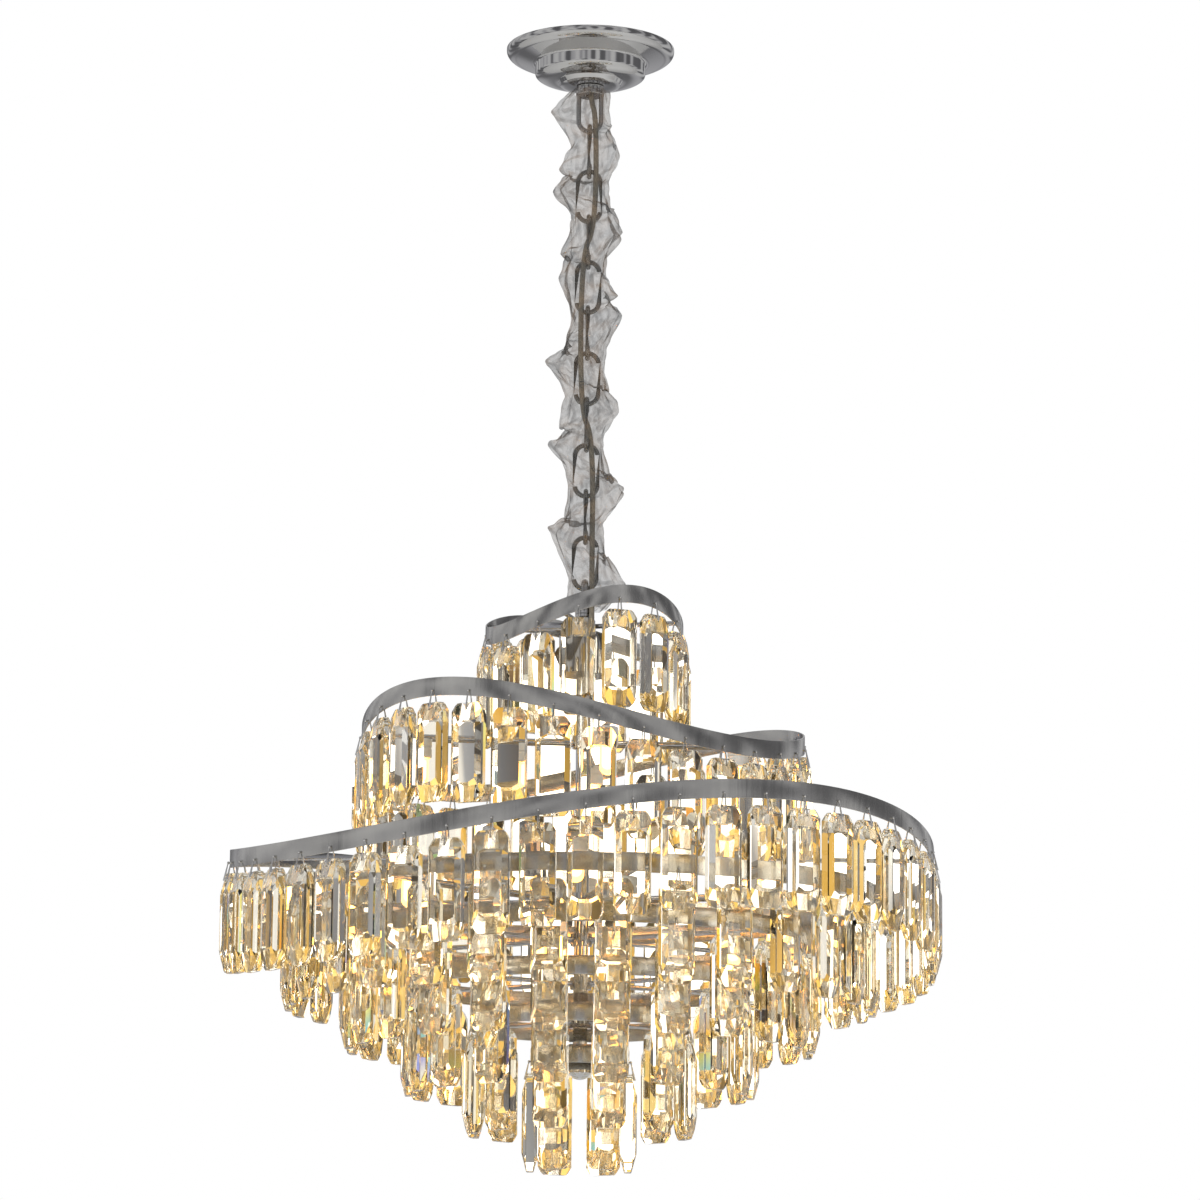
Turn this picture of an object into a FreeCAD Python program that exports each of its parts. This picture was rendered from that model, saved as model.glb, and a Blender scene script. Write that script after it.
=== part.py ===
"""Crystal chandelier: a stepped canopy, a chain in a gathered organza sleeve, and
three wavy steel bands and five plain rings hung with long bevelled crystals.

Millimetres. The origin is the centre of the ceiling fixing, on the ceiling's
plane, and everything hangs below it. An angle is measured from the front (-Y)
towards the right (+X).
"""
import FreeCAD, Part
import os
from math import acos, cos, degrees, pi, radians, sin, tan

Vec = FreeCAD.Vector
UP = Vec(0, 0, 1)

# ---- ceiling fixing and canopy -------------------------------------------------------
crossbar_length = 110.0
crossbar_width = 20.0
crossbar_thick = 2.0
slot_spacing = 70.0
slot_length = 14.0
slot_width = 5.0

nipple_radius = 5.0
nipple_bore = 3.5
nut_flats = 17.0
nut_height = 5.0
thread_gap = 0.05          # between a thread and its hole

canopy_radius = 71.5
canopy_depth = 33.0
canopy_wall = 1.0
step_radius = 47.0         # the upright wall of the canopy's second step
lower_step_radius = 27.5
canopy_floor_radius = 21.5
canopy_lip = 2.0           # the rim's upright edge
dome_width = 9.5           # the rounded shoulder inside the rim: its width and depth
dome_depth = 8.8
step_top = 12.8            # depths of the second step's corner, wall and slope
step_round = 4.0
step_bottom = 22.0
slope_bottom = 28.5
floor_round = 4.0          # width and height of the chamfer round the floor
floor_chamfer = 1.0

collar_radius = 12.0
collar_height = 8.0
collar_loop_drop = 41.5    # from the canopy's floor to the bottom of the loop

# ---- chain ---------------------------------------------------------------------------
link_count = 10
link_length = 48.0
link_width = 23.0
link_wire = 4.0
wire_gap = 0.3             # between two links, and between a link and a loop

# ---- supply cord and sleeve ----------------------------------------------------------
cord_diameter = 4.5
cord_side = 5.7            # how far the cord runs beside the chain, to the right or left
cord_front = 4.8           # how far it runs in front of the chain's axis
crossing_links = (3, 7)    # the cord passes through these links to the other side
crossing_run = 24.0

puff_count = 11
puff_lobes = 6
neck_radius = 16.5
puff_radius = 23.5
puff_sway = 5.0            # the puffs lean to the left and right in turn
lobe_depth = 2.6
cloth_wall = 1.0
sleeve_overlap = 4.0       # the sleeve covers this much of the collar
sleeve_end_drop = 2.8      # its lower edge, below the hang loop's ring
hem_radius = 21.0          # it flares out again at the lower edge

# ---- hang loop, column and junction cup ----------------------------------------------
hang_wire = 6.0
hang_loop_radius = 10.0
hang_boss_radius = 8.0
hang_boss_height = 10.0
socket_roof = 1.0          # metal left between the loop's wire and the column's top
column_radius = 6.0
column_bore = 4.0
cup_radius = 21.0
cup_height = 33.0
cup_drop = 26.3            # from the hang loop's ring to the cup's rim
cup_wall = 1.0
cord_hole_gap = 0.4
block_size = (11.0, 8.0, 10.0)
block_forward = 1.5        # the terminal block's middle, in front of the cord's end
finial_radius = 10.0
finial_height = 13.0
finial_dome = 12.0         # radius of the round it is turned to

# ---- bands, rings and their arms -----------------------------------------------------
strip_height = 15.0
strip_thick = 1.2
hole_radius = 1.0          # each strip hole, 4 mm above the strip's lower edge
hole_lift = 4.0
drill_reach = 2.0          # how far a drilled hole is cut clear of its plate

# wavy bands: radius, mean drop of the top edge below the hang loop's ring, wave
# height, wave angle, number of crystals and angle of the first crystal
tier_radius = (82.0, 183.5, 290.0)
tier_drop = (9.8, 107.8, 203.3)
tier_wave = (14.5, 22.5, 21.0)
tier_wave_angle = (30.0, -46.0, 38.5)
tier_crystals = (15, 32, 50)
tier_first = (-3.5, 3.8, 0.5)
tier_joint_gap = (8, 8, 33)            # each band's ends meet after this crystal
top_arm_angles = (-105.0, -15.0, 75.0, 165.0)
# the other bands' arms pass between the crystals of the row above, after these
arm_gaps = ((-4, 0, 3, 7), (-9, -1, 7, 15))

# plain rings under the lowest band, each one step smaller than the last
ring_names = ("a", "b", "c", "d", "e")
ring_step = 50.0
ring_drop = (239.8, 272.8, 308.8, 340.8, 369.8)
ring_arm_count = (6, 6, 6, 6, 3)
ring_first_arm = (12.0, 0.0, 0.0, 0.0, 0.0)
ring_count_step = 6        # crystals that each ring has more than the next

arm_radius = 2.0
hub_radius = 9.0
hub_height = 10.0
arm_overrun = 1.0          # the arms are cut off from this far past the strip's middle
arm_rise = 60.0            # more than an arm's rise or fall from its hub
weld_gap = 0.05

plate_length = 24.0
plate_height = 8.0
plate_thick = 1.0
bolt_radius = 1.5
bolt_head_radius = 2.8
bolt_head_height = 1.4
bolt_spacing = 13.0

# ---- crystals and hooks --------------------------------------------------------------
crystal_length = 80.0
crystal_width = 28.0
crystal_thick = 14.0
crystal_face = 20.0        # width of the flat down the middle
crystal_edge = 7.0         # thickness left at the long sides
crystal_tip_width = 20.0
crystal_tip_thick = 6.0
crystal_corner = 6.0       # length of the corner cuts
crystal_moon = 15.0        # length of the half-moon cuts
crystal_hole = 5.5         # below the crystal's top
crystal_drop = 6.0         # from a strip's lower edge to the crystal's top
hook_wire = 1.1
hook_top = 2.4             # half the hook's width at the strip
hook_corner = 1.2
hook_gap = 0.35            # between the hook and the crystal

# ---- lamps ---------------------------------------------------------------------------
holder_radius = 9.0
holder_height = 16.0
bulb_radius = 6.5
bulb_length = 24.0
lead_radius = 1.0
seat_gap = 0.1
tier_lamp_radius = (0.0, 130.0, 140.0)  # the top tier has no lamps of its own
ring_lamp_radius = 165.0                # on the arms of the largest ring


# ---- small helpers -------------------------------------------------------------------
def around(radius, angle, z=0.0):
    """The point at this radius and angle."""
    return Vec(radius * sin(radians(angle)), -radius * cos(radians(angle)), z)


def rod(radius, start, end):
    """A round bar from one point to another."""
    run = end - start
    return Part.makeCylinder(radius, run.Length, start, run)


def disc(radius, top, bottom):
    """An upright round bar between two heights."""
    return Part.makeCylinder(radius, top - bottom, Vec(0, 0, bottom))


def box(size_x, size_y, top, bottom, centre=(0.0, 0.0)):
    """A block centred on a point of the plan."""
    corner = Vec(centre[0] - size_x / 2, centre[1] - size_y / 2, bottom)
    return Part.makeBox(size_x, size_y, top - bottom, corner)


def polygon_prism(points, direction):
    """A closed outline of points, swept straight along a direction."""
    outline = Part.makePolygon(points + [points[0]])
    return Part.Face(outline).extrude(direction)


def turned(shape, angle):
    """A copy of a shape, turned about the chandelier's axis."""
    copy = shape.copy()
    copy.rotate(Vec(0, 0, 0), UP, angle)
    return copy


def placed(shape, angle, z):
    """A copy of a shape made at the front, turned to an angle and set at a height."""
    copy = turned(shape, angle)
    copy.translate(Vec(0, 0, z))
    return copy


def corner_arc(before, point, after, radius):
    """An arc of this radius that rounds a corner: its start, middle and end."""
    back = (before - point).normalize()
    ahead = (after - point).normalize()
    half = acos(max(-1.0, min(1.0, back.dot(ahead)))) / 2
    reach = radius / tan(half)
    centre = point + (back + ahead).normalize() * (radius / sin(half))
    middle = centre + (point - centre).normalize() * radius
    return point + back * reach, middle, point + ahead * reach


def rounded_path(points, radii):
    """A wire of straight runs, joined by tangent arcs at its inner points."""
    last = len(points) - 1
    edges = []
    start = points[0]
    for i in range(1, last):
        arc = corner_arc(points[i - 1], points[i], points[i + 1], radii[i])
        edges.append(Part.LineSegment(start, arc[0]).toShape())
        edges.append(Part.Arc(*arc).toShape())
        start = arc[2]
    edges.append(Part.LineSegment(start, points[last]).toShape())
    return Part.Wire(edges)


def swept_round(path, radius, start, direction):
    """A round bar of this radius along a wire."""
    section = Part.Wire(Part.makeCircle(radius, start, direction))
    return path.makePipeShell([section], True, False)


def half_ring(bend, radius, centre, across, down):
    """Half a torus: a bar bent round from one leg to the other."""
    side = centre + across * bend
    other = centre - across * bend
    arc = Part.Arc(side, centre + down * bend, other).toShape()
    return swept_round(Part.Wire(arc), radius, side, down)


def save(name, shape):
    """Write one sub-part."""
    shape.exportStep("parts/" + name + ".step")


def save_group(name, shapes):
    """Write one sub-part of several separate solids."""
    save(name, Part.makeCompound(shapes))


# ---- ceiling fixing and canopy -------------------------------------------------------
def crossbar():
    bar = box(crossbar_length, crossbar_width, 0, -crossbar_thick)
    bar = bar.cut(disc(nipple_radius + thread_gap, 1, -crossbar_thick - 1))
    for side in (-1, 1):
        middle = side * slot_spacing / 2
        straight = slot_length - slot_width
        slot = box(straight, slot_width, 1, -crossbar_thick - 1, (middle, 0))
        for end in (-1, 1):
            round_end = disc(slot_width / 2, 1, -crossbar_thick - 1)
            round_end.translate(Vec(middle + end * straight / 2, 0, 0))
            slot = slot.fuse(round_end)
        bar = bar.cut(slot)
    return bar


def nipple():
    length = canopy_depth + collar_height - 1.0
    return disc(nipple_radius, 0, -length).cut(disc(nipple_bore, 1, -length - 1))


def lock_nut():
    corner = nut_flats / 2 / cos(pi / 6)
    top = -crossbar_thick
    outline = [around(corner, 60 * i, top - nut_height) for i in range(6)]
    nut = polygon_prism(outline, Vec(0, 0, nut_height))
    return nut.cut(disc(nipple_radius + thread_gap, top + 1, top - nut_height - 1))


def quarter_middle(upright, level):
    """The middle of a quarter round that leaves one point upright and ends level."""
    share = cos(pi / 4)
    run = level - upright
    return upright + Vec(run.x * (1 - share), 0, run.z * share)


def canopy_body(inset):
    """The canopy's outline turned about its axis, drawn in by a wall."""
    def at(radius, depth):
        return Vec(radius - inset, 0, inset - depth)

    lip = at(canopy_radius, canopy_lip)
    dome = at(canopy_radius - dome_width, dome_depth)
    shoulder = at(step_radius + step_round, step_top)
    wall_top = at(step_radius, step_top + step_round / 2)
    wall_end = at(step_radius, step_bottom)
    slope_end = at(lower_step_radius, slope_bottom)
    cup = at(canopy_floor_radius + floor_round, canopy_depth - floor_chamfer)
    floor = at(canopy_floor_radius, canopy_depth)
    axis_top = Vec(0, 0, inset)
    axis_floor = Vec(0, 0, inset - canopy_depth)
    edges = [
        Part.LineSegment(axis_top, at(canopy_radius, 0)).toShape(),
        Part.LineSegment(at(canopy_radius, 0), lip).toShape(),
        Part.Arc(lip, quarter_middle(lip, dome), dome).toShape(),
        Part.LineSegment(dome, shoulder).toShape(),
        Part.Arc(shoulder, quarter_middle(wall_top, shoulder), wall_top).toShape(),
        Part.LineSegment(wall_top, wall_end).toShape(),
        Part.Arc(wall_end, quarter_middle(wall_end, slope_end), slope_end).toShape(),
        Part.LineSegment(slope_end, cup).toShape(),
        Part.LineSegment(cup, floor).toShape(),
        Part.LineSegment(floor, axis_floor).toShape(),
        Part.LineSegment(axis_floor, axis_top).toShape(),
    ]
    return Part.Face(Part.Wire(edges)).revolve(Vec(0, 0, 0), UP, 360)


def canopy():
    shell = canopy_body(0.0).cut(canopy_body(canopy_wall))
    return shell.cut(disc(nipple_radius + 2 * thread_gap, 0, -canopy_depth - 1))


def collar_loop():
    top = -canopy_depth
    wire = link_wire / 2
    bend = link_width / 2 - wire
    boss = disc(collar_radius, top, top - collar_height)
    bend_z = top - collar_loop_drop + wire + bend
    body = boss
    for side in (-1, 1):
        leg_top = Vec(side * bend, 0, top - collar_height + wire)
        body = body.fuse(rod(wire, leg_top, Vec(side * bend, 0, bend_z)))
    body = body.fuse(half_ring(bend, wire, Vec(0, 0, bend_z), Vec(1, 0, 0), Vec(0, 0, -1)))
    return body.cut(disc(nipple_radius + thread_gap, top + 1, top - collar_height - 1))


# ---- chain ---------------------------------------------------------------------------
def link_pitch():
    return link_length - 2 * link_wire - wire_gap


def first_link_centre():
    loop_wire = -canopy_depth - collar_loop_drop + link_wire / 2
    return loop_wire + link_wire + wire_gap - (link_length - link_wire) / 2


def link_centre(number):
    return first_link_centre() - link_pitch() * (number - 1)


def chain_link(number):
    """Odd links stand edge-on to the front, and even ones face it."""
    across = Vec(0, 1, 0) if number % 2 else Vec(1, 0, 0)
    wire = link_wire / 2
    bend = link_width / 2 - wire
    reach = (link_length - link_width) / 2
    middle = Vec(0, 0, link_centre(number))
    upper = middle + UP * reach
    lower = middle - UP * reach
    body = half_ring(bend, wire, upper, across, UP)
    body = body.fuse(half_ring(bend, wire, lower, across, UP * -1))
    for side in (-1, 1):
        offset = across * (side * bend)
        body = body.fuse(rod(wire, lower + offset, upper + offset))
    return body.removeSplitter()


# ---- supply cord ---------------------------------------------------------------------
def cord_points():
    """The cord's corners, from the nipple through the chain to the junction cup."""
    below_collar = -canopy_depth - collar_height
    side = cord_side
    points = [
        Vec(0, 0, -4.0),
        Vec(0, 0, below_collar - 3.0),
        Vec(side, -cord_front, below_collar - 19.0),
    ]
    for number in crossing_links:
        middle = link_centre(number)
        points.append(Vec(side, -cord_front, middle + crossing_run / 2))
        side = -side
        points.append(Vec(side, -cord_front, middle - crossing_run / 2))
    last = link_centre(link_count)
    points.append(Vec(side, -cord_front, last - 8.0))
    points.append(Vec(side + 0.3, -cord_front - 6.0, last - 40.0))
    points.append(Vec(side + 0.3, -cord_front - 6.0, cup_rim() - 8.0))
    return points


def supply_cord():
    points = cord_points()
    radii = [0.0] * len(points)
    for i in range(1, len(points) - 1):
        back = points[i - 1] - points[i]
        ahead = points[i + 1] - points[i]
        turn = pi - back.getAngle(ahead)
        shorter = min(back.Length, ahead.Length)
        radii[i] = 0.45 * shorter / tan(turn / 2)
        print("cord corner", i, "turn", round(degrees(turn), 1), "radius", round(radii[i], 1))
    path = rounded_path(points, radii)
    cord = swept_round(path, cord_diameter / 2, points[0], points[1] - points[0])
    expected = path.Length * pi * cord_diameter ** 2 / 4
    print("cord length", round(path.Length, 1), "volume share", round(cord.Volume / expected, 4))
    return cord


# ---- organza sleeve ------------------------------------------------------------------
def lobed_outline(radius, centre_x, z, twist):
    """A ring of outward arcs that meet in creases, as gathered cloth does."""
    step = 360.0 / puff_lobes
    centre = Vec(centre_x, 0, z)
    edges = []
    for i in range(puff_lobes):
        start = centre + around(radius - lobe_depth, twist + step * i)
        crown = centre + around(radius, twist + step * (i + 0.5))
        end = centre + around(radius - lobe_depth, twist + step * (i + 1))
        edges.append(Part.Arc(start, crown, end).toShape())
    return Part.Wire(edges)


def sleeve_levels():
    """Each neck and puff from the top down: radius, sideways lean and height."""
    top = -canopy_depth - collar_height + sleeve_overlap
    pitch = (top - sleeve_bottom()) / puff_count
    levels = [(collar_radius + wire_gap + cloth_wall + lobe_depth, 0.0, top)]
    for number in range(puff_count):
        lean = puff_sway if number % 2 == 0 else -puff_sway
        levels.append((puff_radius, lean, top - pitch * (number + 0.5)))
        levels.append((neck_radius, 0.0, top - pitch * (number + 1)))
    levels[-1] = (hem_radius, 0.0, sleeve_bottom())
    return levels


def organza_sleeve():
    outer = []
    inner = []
    for number, (radius, lean, z) in enumerate(sleeve_levels()):
        twist = 12.0 * number
        outer.append(lobed_outline(radius, lean, z, twist))
        inner.append(lobed_outline(radius - cloth_wall, lean, z, twist))
    return Part.makeLoft(outer, True, True).cut(Part.makeLoft(inner, True, True))


# ---- hang loop, column and junction cup ----------------------------------------------
def hang_loop_centre():
    lowest_wire = link_centre(link_count) - (link_length - link_wire) / 2
    loop_top = lowest_wire + link_wire / 2 + hang_wire / 2 + wire_gap
    return loop_top - hang_loop_radius


def boss_top():
    """The middle of the loop's wire at its lowest point, which all below hangs from."""
    return hang_loop_centre() - hang_loop_radius


def sleeve_bottom():
    return boss_top() - sleeve_end_drop


def cup_rim():
    return boss_top() - cup_drop


def tier_level(tier):
    """Mean height of a wavy band's top edge."""
    return boss_top() - tier_drop[tier]


def ring_level(number):
    """Height of a plain ring's top edge."""
    return boss_top() - ring_drop[number]


def column_top():
    return boss_top() - hang_wire / 2 - socket_roof


def hang_loop():
    centre = Vec(0, 0, hang_loop_centre())
    loop = Part.makeTorus(hang_loop_radius, hang_wire / 2, centre, Vec(1, 0, 0))
    bottom = boss_top() - hang_boss_height
    boss = disc(hang_boss_radius, boss_top(), bottom)
    socket = disc(column_radius + thread_gap, column_top(), bottom - 1)
    return loop.fuse(boss).cut(socket)


def lowest_hub():
    return ring_level(-1) - strip_height / 2


def column():
    bottom = lowest_hub() - hub_height / 2 - finial_height / 2
    tube = disc(column_radius, column_top(), bottom)
    return tube.cut(disc(column_bore, column_top() + 1, bottom - 1))


def finial():
    top = lowest_hub() - hub_height / 2
    blank = disc(finial_radius, top, top - finial_height)
    dome_centre = Vec(0, 0, top - finial_height + finial_dome)
    blank = blank.common(Part.makeSphere(finial_dome, dome_centre))
    return blank.cut(disc(column_radius + thread_gap, top + 1, top - finial_height / 2))


def cord_entry():
    """Where the cord passes through the cup's lid."""
    end = cord_points()[-1]
    return rod(cord_diameter / 2 + cord_hole_gap, Vec(end.x, end.y, cup_rim() + 10), end)


def cup_lid():
    lid = disc(cup_radius, cup_rim() + cup_wall, cup_rim())
    lid = lid.cut(disc(column_radius + thread_gap, cup_rim() + 2 * cup_wall, cup_rim() - 1))
    return lid.cut(cord_entry())


def junction_cup():
    bottom = cup_rim() - cup_height
    cup = disc(cup_radius, cup_rim(), bottom)
    cup = cup.cut(disc(cup_radius - cup_wall, cup_rim() + 1, bottom + cup_wall))
    return cup.cut(disc(column_radius + thread_gap, 0, bottom - 1))


def terminal_block():
    """It stands on the cup's floor beside the column, under the cord's end."""
    size_x, size_y, height = block_size
    floor = cup_rim() - cup_height + cup_wall
    end = cord_points()[-1]
    return box(size_x, size_y, end.z, floor, (end.x, end.y - block_forward))


# ---- bands, rings and arms -----------------------------------------------------------
def wave(tier, angle):
    """How far a band's strip stands above its mean height at an angle."""
    return tier_wave[tier] * cos(radians(2 * (angle - tier_wave_angle[tier])))


def strip_top(tier, angle):
    return tier_level(tier) + wave(tier, angle)


def edge_curve(tier, radius, drop, half):
    """Half of one edge of a wavy band, as a smooth curve."""
    stations = 36
    points = []
    for i in range(stations + 1):
        angle = half * 180.0 + 180.0 * i / stations
        points.append(around(radius, angle, strip_top(tier, angle) - drop))
    curve = Part.BSplineCurve()
    curve.interpolate(points)
    return curve.toShape()


def band_half(tier, half):
    outer = tier_radius[tier] + strip_thick / 2
    inner = tier_radius[tier] - strip_thick / 2
    rails = [edge_curve(tier, outer, 0.0, half),
             edge_curve(tier, outer, strip_height, half),
             edge_curve(tier, inner, strip_height, half),
             edge_curve(tier, inner, 0.0, half)]
    faces = [Part.makeRuledSurface(rails[i], rails[(i + 1) % 4]) for i in range(4)]
    for end in (0, 1):
        tips = [rail.Vertexes[end].Point for rail in rails]
        faces.append(Part.Face(Part.makePolygon(tips + [tips[0]])))
    shell = Part.makeShell(faces)
    shell.sewShape()
    solid = Part.makeSolid(shell)
    if solid.Volume < 0:
        solid.reverse()
    return solid


def crystal_angles(first, count):
    return [first + 360.0 * i / count for i in range(count)]


def hook_hole(radius, angle, z):
    """The hole in a strip that a hook passes through."""
    reach = strip_thick + drill_reach
    return rod(hole_radius, around(radius - reach, angle, z), around(radius + reach, angle, z))


def hole_level(strip_top_z):
    return strip_top_z - strip_height + hole_lift


def gap_angle(tier, number):
    """The middle of the gap that follows one of a band's crystals."""
    return tier_first[tier] + 360.0 * (number + 0.5) / tier_crystals[tier]


def joint_angle(tier):
    return gap_angle(tier, tier_joint_gap[tier])


def arm_angles(tier):
    if tier == 0:
        return top_arm_angles
    return [gap_angle(tier - 1, number) for number in arm_gaps[tier - 1]]


def bolt_angles(tier):
    half = degrees(bolt_spacing / 2 / tier_radius[tier])
    return joint_angle(tier) - half, joint_angle(tier) + half


def strip_middle(tier, angle):
    return strip_top(tier, angle) - strip_height / 2


def bolt_hole(tier, angle):
    reach = strip_thick + plate_thick + drill_reach
    z = strip_middle(tier, angle)
    start = around(tier_radius[tier] - reach, angle, z)
    return rod(bolt_radius + thread_gap, start, around(tier_radius[tier] + reach, angle, z))


def band(tier):
    body = band_half(tier, 0).fuse(band_half(tier, 1))
    holes = []
    for angle in crystal_angles(tier_first[tier], tier_crystals[tier]):
        holes.append(hook_hole(tier_radius[tier], angle, hole_level(strip_top(tier, angle))))
    for angle in bolt_angles(tier):
        holes.append(bolt_hole(tier, angle))
    return body.cut(Part.makeCompound(holes))


def joint_plate(tier):
    """A curved plate behind the two ends of a band."""
    outer = tier_radius[tier] - strip_thick / 2 - weld_gap
    angle = joint_angle(tier)
    z = strip_middle(tier, angle)
    tube = disc(outer, z + plate_height / 2, z - plate_height / 2)
    tube = tube.cut(disc(outer - plate_thick, z + plate_height, z - plate_height))
    block = Part.makeBox(plate_length, plate_length, 2 * plate_height,
                         Vec(-plate_length / 2, -outer - drill_reach, z - plate_height))
    plate = tube.common(turned(block, angle))
    for bolt in bolt_angles(tier):
        plate = plate.cut(bolt_hole(tier, bolt))
    return plate


def joint_bolt(tier, angle):
    """A small bolt with a head outside the band and a nut inside."""
    z = strip_middle(tier, angle)
    face = tier_radius[tier] + strip_thick / 2 + seat_gap
    back = tier_radius[tier] - strip_thick / 2 - weld_gap - plate_thick - 2 * seat_gap
    shank = rod(bolt_radius, around(back - bolt_head_height, angle, z), around(face, angle, z))
    head = rod(bolt_head_radius, around(face, angle, z),
               around(face + bolt_head_height, angle, z))
    nut = rod(bolt_head_radius, around(back - bolt_head_height, angle, z),
              around(back, angle, z))
    return shank.fuse([head, nut])


def spider(hub_z, radius, ends):
    """A hub on the column with arms, each welded to the strip at its own height."""
    body = disc(hub_radius, hub_z + hub_height / 2, hub_z - hub_height / 2)
    reach = radius - strip_thick / 2 - weld_gap
    keep = disc(reach, hub_z + arm_rise, hub_z - arm_rise)
    for angle, z in ends:
        arm = rod(arm_radius, Vec(0, 0, hub_z), around(radius + arm_overrun, angle, z))
        body = body.fuse(arm.common(keep))
    return body.cut(disc(column_radius + thread_gap, hub_z + arm_rise, hub_z - arm_rise))


def tier_hub(tier):
    return tier_level(tier) - strip_height / 2


def tier_spider(tier):
    ends = [(angle, strip_middle(tier, angle)) for angle in arm_angles(tier)]
    return spider(tier_hub(tier), tier_radius[tier], ends)


def ring_radius(number):
    return tier_radius[-1] - ring_step * (number + 1)


def ring_crystals(number):
    return ring_count_step * (len(ring_names) - number)


def ring_first(number):
    return 180.0 / ring_crystals(number)


def ring_angles(number):
    return crystal_angles(ring_first(number), ring_crystals(number))


def ring(number):
    top = ring_level(number)
    radius = ring_radius(number)
    strip = disc(radius + strip_thick / 2, top, top - strip_height)
    strip = strip.cut(disc(radius - strip_thick / 2, top + 1, top - strip_height - 1))
    holes = [hook_hole(radius, angle, hole_level(top)) for angle in ring_angles(number)]
    return strip.cut(Part.makeCompound(holes))


def ring_arm_angles(number):
    return crystal_angles(ring_first_arm[number], ring_arm_count[number])


def ring_hub(number):
    return ring_level(number) - strip_height / 2


def ring_spider(number):
    z = ring_hub(number)
    ends = [(angle, z) for angle in ring_arm_angles(number)]
    return spider(z, ring_radius(number), ends)


# ---- crystals and hooks --------------------------------------------------------------
def crystal():
    """A long drop with its top at the origin, its width along X and its front at -Y."""
    half_width = crystal_width / 2
    half_thick = crystal_thick / 2
    half_face = crystal_face / 2
    half_edge = crystal_edge / 2
    section = [Vec(-half_face, half_thick, 0), Vec(half_face, half_thick, 0),
               Vec(half_width, half_edge, 0), Vec(half_width, -half_edge, 0),
               Vec(half_face, -half_thick, 0), Vec(-half_face, -half_thick, 0),
               Vec(-half_width, -half_edge, 0), Vec(-half_width, half_edge, 0)]
    bar = polygon_prism(section, Vec(0, 0, -crystal_length))
    tip = crystal_tip_width / 2
    low = -crystal_length
    front = [Vec(-tip, -half_thick, 0), Vec(tip, -half_thick, 0),
             Vec(half_width, -half_thick, -crystal_corner),
             Vec(half_width, -half_thick, low + crystal_corner),
             Vec(tip, -half_thick, low), Vec(-tip, -half_thick, low),
             Vec(-half_width, -half_thick, low + crystal_corner),
             Vec(-half_width, -half_thick, -crystal_corner)]
    bar = bar.common(polygon_prism(front, Vec(0, crystal_thick, 0)))
    thin = crystal_tip_thick / 2
    side = [Vec(-half_width, -thin, 0), Vec(-half_width, thin, 0),
            Vec(-half_width, half_thick, -crystal_moon),
            Vec(-half_width, half_thick, low + crystal_moon),
            Vec(-half_width, thin, low), Vec(-half_width, -thin, low),
            Vec(-half_width, -half_thick, low + crystal_moon),
            Vec(-half_width, -half_thick, -crystal_moon)]
    bar = bar.common(polygon_prism(side, Vec(crystal_width, 0, 0)))
    level = Vec(0, -half_thick - 1, -crystal_hole)
    return bar.cut(rod(hole_radius, level, Vec(0, half_thick + 1, -crystal_hole)))


def hook_drop():
    """From the strip's hole to the crystal's hole."""
    return hole_lift + crystal_drop + crystal_hole


def hook():
    """A closed wire loop that stands in the strip's hole, its base in the crystal."""
    slope = (crystal_thick - crystal_tip_thick) / 2 / crystal_moon
    glass = crystal_tip_thick / 2 + slope * crystal_hole
    base = glass + hook_gap + hook_wire / 2
    drop = -hook_drop()
    right = [Vec(0, 0, 0), Vec(0, hook_top, 0), Vec(0, base, drop), Vec(0, 0, drop)]
    left = [Vec(0, 0, 0), Vec(0, -hook_top, 0), Vec(0, -base, drop), Vec(0, 0, drop)]
    halves = []
    for corners, way in ((right, 1), (left, -1)):
        path = rounded_path(corners, [hook_corner] * 4)
        halves.append(swept_round(path, hook_wire / 2, corners[0], Vec(0, way, 0)))
    return halves[0].fuse(halves[1]).removeSplitter()


def hung(shape, radius, angle, z):
    """A copy of a shape made on the axis, hung at the front of a strip and turned."""
    copy = shape.copy()
    copy.translate(Vec(0, -radius, 0))
    return placed(copy, angle, z)


def crystal_top(strip_top_z):
    return strip_top_z - strip_height - crystal_drop


def tier_row(shape, tier, level):
    """A crystal or a hook at each hole of a wavy band."""
    copies = []
    for angle in crystal_angles(tier_first[tier], tier_crystals[tier]):
        z = level(strip_top(tier, angle))
        copies.append(hung(shape, tier_radius[tier], angle, z))
    return copies


def ring_row(shape, number, level):
    """A crystal or a hook at each hole of a plain ring."""
    z = level(ring_level(number))
    radius = ring_radius(number)
    return [hung(shape, radius, angle, z) for angle in ring_angles(number)]


# ---- lamps ---------------------------------------------------------------------------
def lamp_places():
    """Each lamp: its radius and angle, and its arm's height at the hub and fall."""
    places = []
    for tier, at_radius in enumerate(tier_lamp_radius):
        for angle in arm_angles(tier) if at_radius else ():
            rise = strip_middle(tier, angle) - tier_hub(tier)
            slope = rise / (tier_radius[tier] + arm_overrun)
            places.append((at_radius, angle, tier_hub(tier), slope))
    for angle in ring_arm_angles(0):
        places.append((ring_lamp_radius, angle, ring_hub(0), 0.0))
    return places


def holder_top(at_radius, hub_z, slope):
    """Just under the arm, also where a sloping arm is lowest over the holder."""
    lean = abs(slope) * holder_radius
    return hub_z + slope * at_radius - arm_radius * (1 + slope ** 2) - lean - seat_gap


def lamp_holder(at_radius, angle, hub_z, slope):
    top = around(at_radius, angle, holder_top(at_radius, hub_z, slope))
    return rod(holder_radius, top, top - UP * holder_height)


def bulb(at_radius, angle, hub_z, slope):
    top_z = holder_top(at_radius, hub_z, slope) - holder_height
    top = around(at_radius, angle, top_z)
    end = top - UP * (bulb_length - bulb_radius)
    return rod(bulb_radius, top, end).fuse(Part.makeSphere(bulb_radius, end))


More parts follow.
